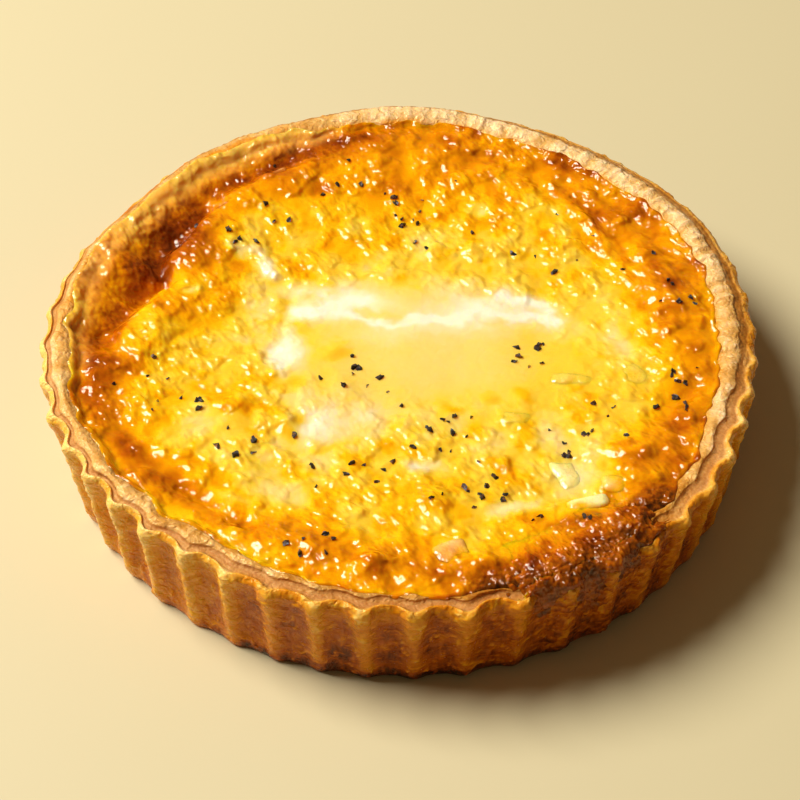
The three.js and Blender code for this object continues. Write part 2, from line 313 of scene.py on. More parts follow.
def make_piece(
    name: str, points: Numbers, faces: list[Any], values: dict[str, Numbers], finish: bpy.types.Material
) -> bpy.types.Object:
    """Makes a smooth-shaded piece.

    Args:
        name: The piece's name.
        points: Its vertices, in millimetres.
        faces: Its faces, as lists of vertex numbers.
        values: Numbers kept at the vertices for the finish, by name.
        finish: Its material.

    Returns:
        The new object, at the origin.
    """
    mesh = bpy.data.meshes.new(name)
    mesh.from_pydata((points * MM).tolist(), [], faces)
    mesh.polygons.foreach_set("use_smooth", np.ones(len(mesh.polygons), dtype=bool))
    keep_values(mesh, values)
    mesh.materials.append(finish)
    mesh.update()
    return add_to_scene(name, mesh)


def add_to_scene(name: str, data: bpy.types.ID) -> bpy.types.Object:
    """Makes an object of a mesh, a light or a camera and puts it in the scene.

    Args:
        name: The object's name.
        data: The mesh, light or camera.

    Returns:
        The new object.
    """
    made = bpy.data.objects.new(name, data)
    bpy.context.scene.collection.objects.link(made)
    return made


def keep_values(mesh: bpy.types.Mesh, values: dict[str, Numbers]) -> None:
    """Keeps numbers at a mesh's vertices, for the finish to read.

    Args:
        mesh: The mesh.
        values: One array of numbers for each name.
    """
    for name, numbers in values.items():
        kept = mesh.attributes.get(name) or mesh.attributes.new(name, "FLOAT", "POINT")
        kept.data.foreach_set("value", numbers.astype(np.float32))


def vectors_of(rows: Any, name: str) -> Numbers:
    """A vector that each row of a mesh has under a name, such as its place.

    Args:
        rows: The mesh's vertices, or their normals.
        name: The vector's name.

    Returns:
        Rows of x, y and z.
    """
    flat = np.empty(len(rows) * 3, dtype=np.float32)
    rows.foreach_get(name, flat)
    return flat.reshape(-1, 3).astype(float)


def points_of(mesh: bpy.types.Mesh) -> Numbers:
    """The places of a mesh's vertices, in millimetres."""
    return vectors_of(mesh.vertices, "co") / MM


def heights_on(piece: bpy.types.Object, x: Numbers, y: Numbers) -> Numbers:
    """How high a piece's upper side is at places seen from above.

    Args:
        piece: The piece.
        x: The places' x.
        y: The places' y.

    Returns:
        Its height at each place, in millimetres.
    """
    sides = [tuple(side.vertices) for side in piece.data.polygons]
    tree = BVHTree.FromPolygons(points_of(piece.data).tolist(), sides)
    down = (0.0, 0.0, -1.0)
    places = zip(x.tolist(), y.tolist())
    return np.array([tree.ray_cast((a, b, ABOVE_ALL), down)[0].z for a, b in places])


def ring_faces(rings: int, columns: int, closed: bool = True) -> list[Any]:
    """Faces between rings of points, each ring following the one before it.

    Args:
        rings: How many rings there are.
        columns: Points in a ring.
        closed: Whether a ring's last point meets its first.

    Returns:
        Four vertex numbers for each face.
    """
    ring, column = np.meshgrid(np.arange(rings - 1), np.arange(columns if closed else columns - 1))
    ring, column = ring.ravel(order="F"), column.ravel(order="F")
    beside = (column + 1) % columns
    low, high = ring * columns, (ring + 1) * columns
    return np.stack([low + column, low + beside, high + beside, high + column], axis=-1).tolist()


def closed_rings(rings: int, columns: int) -> list[Any]:
    """Faces between rings, closed by a point before the first ring and one after the last.

    Args:
        rings: How many rings there are.
        columns: Points in a ring.

    Returns:
        The vertex numbers of each face. The two points' own numbers follow the rings'.
    """
    faces = ring_faces(rings, columns)
    count = rings * columns
    last = count - columns
    for column in range(columns):
        beside = (column + 1) % columns
        faces.append([count, beside, column])
        faces.append([count + 1, last + column, last + beside])
    return faces


def smooth_path(points: Numbers, spans: list[int]) -> Numbers:
    """A smooth line through points, for many lines at once.

    Args:
        points: Named points by columns by coordinates.
        spans: How many steps lie between each point and the next.

    Returns:
        Steps by columns by coordinates.
    """
    ahead = np.concatenate([points[1:], points[-1:]])
    behind = np.concatenate([points[:1], points[:-1]])
    slopes = (ahead - behind) / 2.0
    rows = []
    for number, count in enumerate(spans):
        for t in np.arange(count) / count:
            rows.append(
                (2 * t**3 - 3 * t**2 + 1) * points[number]
                + (t**3 - 2 * t**2 + t) * slopes[number]
                + (3 * t**2 - 2 * t**3) * points[number + 1]
                + (t**3 - t**2) * slopes[number + 1]
            )
    rows.append(points[-1])
    return np.stack(rows)


# ---- Node trees ------------------------------------------------------------------


@dataclass
class NodeMaker:
    """Adds nodes to one tree."""

    tree: bpy.types.NodeTree

    def node(
        self, kind: str, settings: dict[str, Any] | None = None, values: dict[Any, Any] | None = None
    ) -> bpy.types.Node:
        """Adds a node.

        Args:
            kind: The node's type.
            settings: Its own settings, set first; "stops" holds a ramp's places and colours.
            values: What each input gets, by its name or number: a wire, a socket or a value.

        Returns:
            The new node.
        """
        made = self.tree.nodes.new(kind)
        for name, value in (settings or {}).items():
            if name == "stops":
                self._set_ramp(made.color_ramp, value)
            else:
                setattr(made, name, value)
        for name, value in (values or {}).items():
            value = value.socket if isinstance(value, Wire) else value
            if isinstance(value, bpy.types.NodeSocket):
                self.tree.links.new(value, made.inputs[name])
            else:
                made.inputs[name].default_value = value
        return made

    def wire(self, node: bpy.types.Node, output: int | str = 0) -> "Wire":
        """One output of a node, ready for maths."""
        return Wire(self, node.outputs[output])

    @classmethod
    def for_shapes(cls, name: str, inputs: dict[str, str]) -> tuple["NodeMaker", bpy.types.Node]:
        """Starts a geometry node tree with its group inputs and its one output.

        Args:
            name: The tree's name.
            inputs: The kind of each input, such as Float, by its name.

        Returns:
            The maker, and the node that gives the inputs.
        """
        tree = bpy.data.node_groups.new(name, "GeometryNodeTree")
        for label, kind in inputs.items():
            tree.interface.new_socket(label, in_out="INPUT", socket_type=f"NodeSocket{kind}")
        tree.interface.new_socket("Result", in_out="OUTPUT", socket_type="NodeSocketGeometry")
        maker = cls(tree)
        return maker, maker.node("NodeGroupInput")

    def named(self, name: str, kind: str) -> "Wire":
        """The numbers that a shape keeps under a name."""
        return self.wire(self.node("GeometryNodeInputNamedAttribute", {"data_type": kind}, {"Name": name}))

    def end(self, shape: bpy.types.Node, finish: bpy.types.NodeSocket) -> bpy.types.NodeTree:
        """Gives the shape its finish and hands it over as the tree's result.

        Args:
            shape: The node that makes the shape.
            finish: The material.

        Returns:
            The finished tree.
        """
        values = {"Geometry": shape.outputs[0], "Material": finish}
        dressed = self.node("GeometryNodeSetMaterial", {}, values)
        self.node("NodeGroupOutput", {}, {0: dressed.outputs[0]})
        return self.tree

    @staticmethod
    def _set_ramp(ramp: bpy.types.ColorRamp, stops: Stops) -> None:
        """Gives a colour ramp its stops.

        Args:
            ramp: The ramp.
            stops: Its places and colours.
        """
        while len(ramp.elements) < len(stops):
            ramp.elements.new(1.0)
        for element, (place, colour) in zip(ramp.elements, stops):
            element.position = place
            element.color = (*colour, 1.0)


@dataclass
class Wire:
    """A number that varies from place to place, written as maths on a socket."""

    maker: NodeMaker
    socket: bpy.types.NodeSocket

    def math(self, operation: str, *others: Any, first: Any = None) -> "Wire":
        """Adds a maths node.

        Args:
            operation: What it does.
            others: What it takes after this number.
            first: What it takes before it, if anything.

        Returns:
            Its result.
        """
        order = [self, *others] if first is None else [first, self]
        made = self.maker.node("ShaderNodeMath", {"operation": operation}, dict(enumerate(order)))
        return self.maker.wire(made)

    def __add__(self, other: Any) -> "Wire":
        """This number plus another."""
        return self.math("ADD", other)

    __radd__ = __add__

    def __sub__(self, other: Any) -> "Wire":
        """This number less another."""
        return self.math("SUBTRACT", other)

    def __rsub__(self, other: Any) -> "Wire":
        """Another number less this one."""
        return self.math("SUBTRACT", first=other)

    def __mul__(self, other: Any) -> "Wire":
        """This number times another."""
        return self.math("MULTIPLY", other)

    def __truediv__(self, other: Any) -> "Wire":
        """This number divided by another."""
        return self.math("DIVIDE", other)

    def __rtruediv__(self, other: Any) -> "Wire":
        """Another number divided by this one."""
        return self.math("DIVIDE", first=other)

    def __pow__(self, other: Any) -> "Wire":
        """This number to a power."""
        return self.math("POWER", other)

    def clamped(self) -> "Wire":
        """This number held between 0 and 1."""
        return self.math("MINIMUM", 1.0).math("MAXIMUM", 0.0)

    def between(self, low: float, high: float) -> "Wire":
        """How far this number is from low to high, eased, from 0 to 1."""
        settings, values = {"interpolation_type": "SMOOTHSTEP"}, {"Value": self, 1: low, 2: high}
        return self.maker.wire(self.maker.node("ShaderNodeMapRange", settings, values))


def from_screen(red: int, green: int, blue: int) -> Colour:
    """A colour as screens name it, from 0 to 255, turned into linear light."""
    shares = [value / 255.0 for value in (red, green, blue)]
    return tuple(s / 12.92 if s <= 0.04045 else ((s + 0.055) / 1.055) ** 2.4 for s in shares)


def screen_stops(*rows: tuple[float, int, int, int]) -> Stops:
    """A ramp's stops, from rows of a place and a colour as screens name it."""
    return tuple((place, from_screen(*colour)) for place, *colour in rows)


class Skin:
    """A new material with one surface shader, and the textures that feed it."""

    def __init__(self, name: str, constants: dict[str, Any]) -> None:
        """Makes the material.

        Args:
            name: Its name.
            constants: Shader inputs that are the same all over.
        """
        self.material = bpy.data.materials.new(name)
        self.material.use_nodes = True
        self.maker = NodeMaker(self.material.node_tree)
        self.maker.tree.nodes.clear()
        self.shader = self.maker.node("ShaderNodeBsdfPrincipled", {}, constants)
        output = self.maker.node("ShaderNodeOutputMaterial")
        self.maker.tree.links.new(self.shader.outputs[0], output.inputs["Surface"])
        self.place = self.maker.node("ShaderNodeTexCoord").outputs["Object"]

    def kept(self, name: str) -> Wire:
        """The numbers kept at the vertices under a name."""
        made = self.maker.node("ShaderNodeAttribute", {"attribute_name": name})
        return self.maker.wire(made, "Fac")

    def noise(
        self,
        size: float,
        detail: float = 2.0,
        stretch: Triple = (1.0, 1.0, 1.0),
        heading: float = 0.0,
        distortion: float = 0.0,
    ) -> Wire:
        """Smooth noise over the surface.

        Args:
            size: Size of its features, in millimetres.
            detail: How many finer layers it has.
            stretch: How the pattern is drawn out along each axis.
            heading: How far those axes are turned about Z, in degrees.
            distortion: How much the pattern is swirled.

        Returns:
            A number, from about 0 to 1.
        """
        turned = {"Vector": self.place, "Rotation": (0.0, 0.0, math.radians(heading)), "Scale": stretch}
        placed = self.maker.node("ShaderNodeMapping", {"vector_type": "TEXTURE"}, turned)
        values = {"Vector": placed.outputs[0], "Scale": 1.0 / (size * MM)}
        values |= {"Detail": detail, "Distortion": distortion}
        return self.maker.wire(self.maker.node("ShaderNodeTexNoise", {}, values))

    def cells(self, size: float) -> Wire:
        """Small rounded cells, 0 at each middle, of a size in millimetres."""
        values = {"Vector": self.place, "Scale": 1.0 / (size * MM), "Smoothness": 0.6}
        return self.maker.wire(self.maker.node("ShaderNodeTexVoronoi", {"feature": "SMOOTH_F1"}, values))

    def ramp(self, amount: Wire, stops: Stops) -> bpy.types.NodeSocket:
        """A colour for each amount."""
        made = self.maker.node("ShaderNodeValToRGB", {"stops": stops}, {"Fac": amount})
        return made.outputs["Color"]

    def blend(self, share: Wire, first: Any, second: Any) -> bpy.types.NodeSocket:
        """Goes from the first colour to the second as share goes from 0 to 1.

        Args:
            share: How much of the second there is.
            first: A colour or a socket.
            second: Another.

        Returns:
            The blended colour.
        """
        colours = [(*c, 1.0) if isinstance(c, tuple) else c for c in (first, second)]
        values = {0: share, 6: colours[0], 7: colours[1]}
        made = self.maker.node("ShaderNodeMix", {"data_type": "RGBA"}, values)
        return made.outputs[2]

    def finish(self, colour: Any, roughness: Wire, height: Wire | None = None) -> bpy.types.Material:
        """Feeds the shader.

        Args:
            colour: The base colour.
            roughness: How rough the surface is.
            height: Fine relief, in metres, if it has any.

        Returns:
            The finished material.
        """
        link = self.maker.tree.links.new
        link(colour, self.shader.inputs["Base Color"])
        link(roughness.socket, self.shader.inputs["Roughness"])
        if height is not None:
            values = {"Strength": 1.0, "Distance": 1.0, "Height": height}
            bump = self.maker.node("ShaderNodeBump", {}, values)
            link(bump.outputs[0], self.shader.inputs["Normal"])
        return self.material


# ---- Finishes --------------------------------------------------------------------


@dataclass(frozen=True)
class PastryFinish:
    """Baked pastry: pale on the ridges and brown in the valleys, partly as painted highlight and painted
    shade, and pinkish where it was trimmed.
    """

    stops: Stops = screen_stops(
        (0.0, 248, 200, 98),
        (0.25, 238, 168, 32),
        (0.5, 224, 136, 4),
        (0.72, 184, 88, 0),
        (0.88, 110, 42, 1),
        (1.0, 46, 16, 2),
    )
    lip_stops: Stops = screen_stops(
        (0.0, 246, 208, 152),
        (0.25, 226, 172, 96),
        (0.5, 196, 130, 44),
        (0.75, 146, 76, 10),
        (1.0, 72, 28, 4),
    )
    trimmed: Colour = from_screen(212, 150, 86)
    trimmed_dark: Colour = from_screen(170, 102, 42)
    flaky: Colour = from_screen(184, 116, 38)
    flaky_dark: Colour = from_screen(142, 78, 18)
    film: Colour = from_screen(236, 146, 18)
    scatter: Colour = (1.0, 0.5, 0.2)
    glint: Colour = (1.0, 0.78, 0.38)

    def material(self) -> bpy.types.Material:
        """Makes the material.

        Returns:
            The finished material.
        """
        skin = Skin("pastry", {
            "Subsurface Weight": 0.4, "Subsurface Radius": self.scatter, "Subsurface Scale": 1.6 * MM,
            "IOR": 1.38, "Specular Tint": (*self.glint, 1.0),
        })
        mottle = skin.noise(6.0, 4.0) - 0.5
        grain = skin.noise(0.7, 3.0) - 0.5
        streaks = skin.noise(1.1, 2.0, (1.0, 1.0, 7.0)) - 0.5
        cut, film, scorch = skin.kept("cut"), skin.kept("film"), skin.kept("scorch")
        flecks = skin.noise(1.3, 1.0, (2.2, 2.2, 1.0)).between(0.56, 0.7)
        # The kept tone is the pastry's browning with painted shade and painted highlight mixed in.
        tone = skin.kept("browning") + mottle * 0.5 + grain * 0.16 + streaks * 0.2 - flecks * 0.12
        upper = skin.kept("upper")
        wall, lip = skin.ramp(tone.clamped(), self.stops), skin.ramp(tone.clamped(), self.lip_stops)
        baked = skin.blend(upper, wall, lip)
        fibres = (grain * 1.6 + mottle * 1.2 + 0.5).clamped()
        fresh = skin.blend(fibres, self.trimmed, self.trimmed_dark)
        browned = skin.blend(fibres, self.flaky, self.flaky_dark)
        bare = skin.blend(cut, baked, skin.blend(skin.kept("baked"), fresh, browned))
        colour = skin.blend(film, bare, self.film)
        roughness = grain * 0.2 + 0.24 + cut * 0.3 - film * 0.08
        smooth = grain * 0.00012 + flecks * 0.00016 + skin.noise(2.4, 2.0, distortion=0.5) * 0.0011
        height = smooth * (1.0 - cut * 0.5) - scorch * skin.cells(1.5) * 0.0006
        return skin.finish(colour, roughness, height)


@dataclass(frozen=True)
class CustardFinish:
    """Baked custard, from cream through yellow and orange to scorched brown."""

    stops: Stops = screen_stops(
        (0.0, 255, 235, 204),
        (0.14, 255, 212, 132),
        (0.28, 254, 203, 62),
        (0.4, 252, 185, 10),
        (0.52, 246, 165, 0),
        (0.64, 222, 136, 0),
        (0.76, 188, 96, 0),
        (0.87, 136, 52, 1),
        (1.0, 64, 18, 1),
    )
    burnt_stops: Stops = screen_stops(
        (0.3, 232, 162, 18),
        (0.55, 210, 118, 6),
        (0.75, 160, 78, 4),
        (0.9, 98, 42, 3),
        (1.0, 44, 18, 2),
    )
    over_pastry: Colour = from_screen(255, 188, 84)
    scatter: Colour = (0.8, 0.55, 0.14)
    glint: Colour = (1.0, 0.92, 0.74)
    drawn_out: Triple = (1.5, 1.0, 1.0)
    heading: float = -58.0

    def material(self) -> bpy.types.Material:
        """Makes the material.

        Returns:
            The finished material.
        """
        skin = Skin("custard", {
            "Subsurface Weight": 1.0, "Subsurface Radius": self.scatter, "Subsurface Scale": 3.0 * MM,
            "IOR": 1.48, "Specular Tint": (*self.glint, 1.0),
        })
        rough, scorch = skin.kept("rough"), skin.kept("scorch")
        mottle = skin.noise(6.0, 3.0) - 0.5
        flecks = skin.noise(1.8, 3.0) - 0.5
        spread = mottle * 0.2 + flecks * (scorch * 0.3 + 0.06)
        # The kept tone is the custard's browning with painted light and painted shade mixed in.
        tone = (skin.kept("browning") + spread * (rough * 0.8 + 0.2)).clamped()
        burnt = skin.ramp(tone, self.burnt_stops)
        colour = skin.blend(scorch.between(0.5, 0.9), skin.ramp(tone, self.stops), burnt)
        thin = (skin.kept("thin") * (mottle * 1.2 + 1.0)).clamped()
        colour = skin.blend(thin, colour, self.over_pastry)
        wrinkles = skin.noise(1.4, 0.0, self.drawn_out, self.heading)
        folds = skin.noise(3.0, 0.0, self.drawn_out, self.heading)
        lively = skin.noise(9.0, 2.0).between(0.38, 0.58) * 0.85 + 0.15
        height = (
            (wrinkles * 0.0006 + folds * 0.0013) * lively * rough
            + skin.noise(1.4, 0.0) * 0.00012
            - scorch * skin.cells(1.5) * 0.0007
        )
        roughness = mottle * 0.06 + 0.1
        return skin.finish(colour, roughness, height)


@dataclass(frozen=True)
class FillingFinish:
    """One kind of filling that shows at the surface.

    Attributes:
        name: The material's name.
        pale: Its colour.
        deep: Its colour where it is darker or thinner.
        clear: How much light goes in and comes out again.
        scatter: How far each colour of light goes in.
    """

    name: str
    pale: Colour
    deep: Colour
    clear: float
    scatter: Colour = (1.0, 0.6, 0.3)

    def material(self) -> bpy.types.Material:
        """Makes the material: the piece's own colours where it is bare, custard elsewhere.

        Returns:
            The finished material.
        """
        skin = Skin(self.name, {
            "Subsurface Weight": self.clear, "Subsurface Radius": self.scatter,
            "Subsurface Scale": 3.0 * MM, "IOR": 1.6,
        })
        clouds = skin.noise(3.0, 3.0)
        grain = skin.noise(0.9, 2.0)
        own = skin.blend((clouds * 1.6 - 0.45).clamped(), self.pale, self.deep)
        coated = skin.ramp((skin.kept("browning") + clouds * 0.3 - 0.15).clamped(), CustardFinish.stops)
        bare = (skin.kept("bare") + clouds * 0.8 - 0.4).clamped()
        colour = skin.blend(bare, coated, own)
        return skin.finish(colour, grain * 0.2 + 0.14, clouds * 0.0007 + grain * 0.0001)


class Filling(Enum):
    """The kinds of filling that break the surface."""

    CHEESE = "cheese"
    ONION = "onion"
    HAM = "ham"

    def finish(self) -> FillingFinish:
        """The finish of this kind.

        Returns:
            Its colours, and how clear it is.
        """
        pale, deep, clear = {
            Filling.CHEESE: ((255, 238, 178), (254, 222, 124), 1.0),
            Filling.ONION: ((252, 232, 170), (240, 204, 116), 0.8),
            Filling.HAM: ((244, 190, 120), (222, 144, 60), 0.6),
        }[self]
        return FillingFinish(self.value, from_screen(*pale), from_screen(*deep), clear)


@dataclass(frozen=True)
class PepperFinish:
    """Cracked black pepper."""

    husk: Colour = from_screen(24, 17, 14)
    core: Colour = from_screen(150, 92, 56)

    def material(self) -> bpy.types.Material:
        """Makes the material.

        Returns:
            The finished material.
        """
        skin = Skin("pepper", {"Coat Weight": 0.1})
        grain = skin.noise(0.7, 2.0)
        kernel = skin.noise(4.0, 1.0).between(0.52, 0.66)
        colour = skin.blend(grain.between(0.48, 0.7) * (kernel * 0.8 + 0.2), self.husk, self.core)
        return skin.finish(colour, grain * 0.3 + 0.4, grain * 0.0002)


@dataclass(frozen=True)
class FloorFinish:
    """A plain pale tabletop."""

    colour: Colour = from_screen(209, 194, 151)
    worn: Colour = from_screen(207, 191, 148)

    def material(self) -> bpy.types.Material:
        """Makes the material.

        Returns:
            The finished material.
        """
        skin = Skin("floor", {})
        clouds = skin.noise(90.0, 2.0)
        colour = skin.blend(clouds, self.colour, self.worn)
        return skin.finish(colour, clouds * 0.1 + 0.55)


# ---- Pastry case -----------------------------------------------------------------


@dataclass
class PastryCase:
    """The fluted case with its trimmed rim.

    The wall's flutes are narrow ridges between wide valleys. The rim has a thin
    outer skin, the trimmed face inside it, and a puffed lip that falls to the
    custard.

    Attributes:
        STEPS: How many rows of points follow each named point of the section.
        DRIFT: Waves round the case that move the flutes: how many, their start, their size.
        UNEVEN: Waves round the case that make the flutes shallower and deeper.
    """

    STEPS: ClassVar[dict[str, int]] = {
        "middle_of_base": 3, "underside": 4, "foot": 9, "low_wall": 9, "mid_wall": 9, "high_wall": 7,
        "under_rim": 5, "skin_out": 4, "skin_top": 3, "band_out": 5, "band_in": 3, "bead": 4,
        "lip_out": 5, "lip_crest": 5, "lip_fall": 4, "lip_inside": 7, "inner_wall": 3, "inner_foot": 2,
    }
    DRIFT: ClassVar[tuple[Triple, ...]] = ((3.0, 1.0, math.radians(0.5)), (7.0, 0.0, math.radians(0.35)))
    UNEVEN: ClassVar[Triple] = (5.0, 2.0, 0.18)
    rim_radius: float = 100.0
    base_radius: float = 97.0
    height: float = 33.0
    rounding: float = 2.2
    floor: float = 4.5
    wall: float = 7.0
    flutes: int = 48
    flute_depth: float = 2.9
    sharpness: float = 1.9
    first_ridge: float = 2.2
    columns: int = 960
    rim_out: RoundTheCase = RoundTheCase((
        (0, -0.2), (28, 1.5), (55, 0), (75, 0.6), (90, 0.5), (108, -0.5), (125, 0.4),
        (146, -1.3), (165, 1), (184, 2.4), (200, 1.4), (220, 0), (240, -1.2),
        (258, 0.1), (280, 1.4), (306, 1.2), (322, 1.2), (340, -0.8),
    ))
    rim_up: RoundTheCase = RoundTheCase((
        (0, -0.2), (40, 0.2), (72, 0.1), (90, 1.3), (112, 0.6), (150, 0.1), (185, 0.5),
        (225, 0.3), (265, 0.1), (292, -0.7), (304, -1.6), (316, -0.9), (335, -0.1),
    ))
    band: RoundTheCase = RoundTheCase((
        (0, 4), (25, 3.8), (58, 3.4), (88, 1.8), (120, 1.6), (150, 2), (180, 2.4), (225, 2.8),
        (243, 4.4), (290, 4.2), (335, 5.4),
    ))
    trim: RoundTheCase = RoundTheCase((
        (0, 0), (150, 0), (176, 0.8), (230, 1), (336, 1), (352, 0.3),
    ))
    lip: RoundTheCase = RoundTheCase((
        (0, 7), (50, 7.4), (90, 7.2), (120, 6), (150, 4.4), (185, 6.8), (225, 6.2), (262, 3.4),
        (300, 3), (330, 4.6),
    ))
    lip_rise: RoundTheCase = RoundTheCase((
        (0, 0.5), (50, 0.5), (110, 0.3), (150, 0), (185, 0.9), (225, 0.7), (265, 0.3),
        (304, 0), (335, 0.2),
    ))
    # How much paler the flutes' crests are than their valleys round the case: partly less browned crests,
    # partly painted highlight on the crests and painted shade in the valleys, strongest on the lit front
    # left.
    crest_paling_and_highlight: RoundTheCase = RoundTheCase((
        (0, 0.16), (90, 0.16), (180, 0.24), (232, 0.36), (256, 0.28), (285, 0.14), (300, 0.1), (326, 0.2),
    ))
    lobes: RoundTheCase = RoundTheCase((
        (0, 0), (160, 0), (180, 1), (230, 1), (255, 0.3), (340, 0),
    ))
    lip_tone: RoundTheCase = RoundTheCase((
        (0, 0.28), (30, 0.18), (60, 0.12), (90, 0.12), (112, 0.34), (140, 0.34), (165, 0.34),
        (185, 0.32), (225, 0.3), (250, 0.36), (300, 0.72), (318, 0.5), (340, 0.26),
    ))
    # The wall's tone round the case: its browning, and partly painted shade, darker on the right and the
    # front, which face away from the key light.
    wall_tone_and_shade: RoundTheCase = RoundTheCase((
        (0, 0.56), (60, 0.56), (100, 0.62), (150, 0.62), (182, 0.38), (208, 0.34), (226, 0.47),
        (256, 0.66), (285, 0.67), (303, 0.55), (326, 0.6), (342, 0.46),
    ))
    overflow: RoundTheCase = RoundTheCase((
        (280, 0), (290, 0.45), (296, 1), (312, 1), (318, 0.35), (326, 0),
    ))
    rim_fluting: RoundTheCase = RoundTheCase((
        (0, 0.2), (22, 0.1), (75, 0.1), (145, 0.15), (178, 0.65), (225, 0.9), (322, 1), (342, 0.8),
    ))
    wall_fluting: RoundTheCase = RoundTheCase((
        (0, 1), (240, 1), (262, 0.62), (300, 0.62), (322, 1),
    ))
    glaze: RoundTheCase = RoundTheCase((
        (0, 0), (106, 0), (124, 1), (166, 1), (180, 0.3), (190, 0),
    ))
    noise: SolidNoise = field(default_factory=lambda: SolidNoise(7))

    def section(self, degrees: Numbers) -> dict[str, tuple[Numbers, Numbers, Any]]:
        """The case's section at each angle, before it is fluted.

        Args:
            degrees: Angles.

        Returns:
            Named points from the underside over the rim to the floor, each with
            its radius, its height and how far it follows the flutes.
        """
        top = self.height + self.rim_up.at(degrees)
        edge = self.rim_radius + self.rim_out.at(degrees)
        band, lip = self.band.at(degrees), self.lip.at(degrees)
        rise = self.lip_rise.at(degrees)
        wave = self.lip_wave(degrees)
        inner = edge - band - lip + wave
        flat = np.zeros_like(degrees)
        flute, wall_flute = self.rim_fluting.at(degrees), self.wall_fluting.at(degrees)
        slant = 1.0 - self.trim.at(degrees)

        def wall(share: float | Numbers) -> tuple[Numbers, Numbers]:
            """The wall's radius and height, a share of the way up."""
            return mix(self.base_radius, edge + 0.3, np.asarray(share) ** 0.7), share * top

        foot = wall(self.rounding / top)
        return {
            "middle_of_base": (foot[0] - self.rounding - 12.0, flat, 0.0),
            "underside": (foot[0] - self.rounding, flat, 0.35),
            "foot": (*foot, 0.45),
            "low_wall": (*wall(0.26), 0.85 * wall_flute),
            "mid_wall": (*wall(0.5), wall_flute),
            "high_wall": (*wall(0.74), wall_flute),
            "under_rim": (*wall(0.88), mix(flute, 1.0, 0.6) * wall_flute),
            "skin_out": (edge + 0.5, top - 1.7 - slant, 0.9 * flute),
            "skin_top": (edge - 0.6, top - 0.1 - 1.3 * slant, 0.85 * flute),
            "band_out": (edge - 0.3 * band - 0.4, top - 0.75 - 0.25 * slant, 0.7 * flute),
            "band_in": (edge - 0.85 * band, top - 0.7 + 0.3 * slant, 0.55 * flute),
            "bead": (edge - band - 0.2, top - 0.1, 0.45 * flute),
            "lip_out": (edge - band - 0.22 * lip, top + 0.75 * rise, 0.25 * flute),
            "lip_crest": (edge - band - 0.45 * lip + 0.4 * wave, top + rise, 0.1 * flute),
            "lip_fall": (edge - band - 0.78 * lip + 0.8 * wave, top + 0.4 * rise - 0.5, 0.0),
            "lip_inside": (inner, top - 1.5, 0.0),
            "inner_wall": (inner - 0.8, top - 6.0, 0.0),
            "inner_foot": (flat + self.base_radius - self.wall - 2.5, flat + self.floor + 3.0, 0.0),
            "floor_edge": (flat + self.base_radius - self.wall - 6.0, flat + self.floor, 0.0),
        }

    def fluting_tree(self) -> bpy.types.NodeTree:
        """Builds the node tree that presses the flutes into a plain case.

        Returns:
            A tree with the case and the flutes' sizes as its inputs.
        """
        maker, given = NodeMaker.for_shapes("press_flutes", {
            "Case": "Geometry", "Flutes": "Int", "Depth": "Float", "Sharpness": "Float",
            "First Ridge": "Float", "Finish": "Material",
        })
        flutes, depth, sharpness, first = (maker.wire(given, number) for number in (1, 2, 3, 4))
        place = maker.node("GeometryNodeInputPosition")
        parts = maker.node("ShaderNodeSeparateXYZ", {}, {0: place.outputs[0]})
        x, y = maker.wire(parts, 0), maker.wire(parts, 1)
        angle = y.math("ARCTAN2", x)
        drift = sum((angle * waves + start).math("SINE") * size for waves, start, size in self.DRIFT)
        phase = (angle - first + drift) * flutes
        ridge = (phase.math("COSINE") * 0.5 + 0.5).clamped() ** sharpness
        waves, start, share = self.UNEVEN
        deep = ((angle * waves + start).math("SINE") * share + 1.0) * depth
        press = deep * (1.0 - ridge) * maker.named("follows", "FLOAT") * -1.0
        radius = (x * x + y * y).math("SQRT").math("MAXIMUM", MM)
        offset = maker.node("ShaderNodeCombineXYZ", {}, {0: press * x / radius, 1: press * y / radius})
        pressed = maker.node(
            "GeometryNodeSetPosition", {}, {"Geometry": given.outputs[0], "Offset": offset.outputs[0]}
        )
        kept = maker.node(
            "GeometryNodeStoreNamedAttribute",
            {"data_type": "FLOAT", "domain": "POINT"},
            {"Geometry": pressed.outputs[0], "Name": "ridge", "Value": ridge},
        )
        real = maker.node("GeometryNodeRealizeInstances", {}, {0: kept.outputs[0]})
        return maker.end(real, given.outputs["Finish"])

    def build(self, finish: bpy.types.Material) -> bpy.types.Object:
        """Builds the case.

        Args:
            finish: Its material.

        Returns:
            The finished piece.
        """
        degrees = self.first_ridge + np.arange(self.columns) * 360.0 / self.columns
        named = self.section(degrees)
        outline = np.stack([
            np.stack([radius, height, np.full_like(degrees, follows)], axis=-1)
            for radius, height, follows in named.values()
        ])
        rows = smooth_path(outline, list(self.STEPS.values()))
        rows[..., 1] = np.maximum(rows[..., 1], 0.0)
        turn = np.radians(degrees)
        wave = self.rim_wave(degrees)
        share = self.share_of_rim(rows[..., 1], rows[..., 0])
        radius = rows[..., 0] + share * wave
        rings = around(radius, turn, rows[..., 1])
        points = np.concatenate([rings.reshape(-1, 3), [[0, 0, 0], [0, 0, self.floor]]])
        faces = closed_rings(len(rows), self.columns)
        follows = np.concatenate([rows[..., 2].ravel(), [0.0, 0.0]])
        plain = make_piece("plain_case", points, faces, {"follows": follows}, finish)
        piece = self.press_flutes(plain, finish)
        self.shape_surface(piece.data, rows, degrees)
        return piece

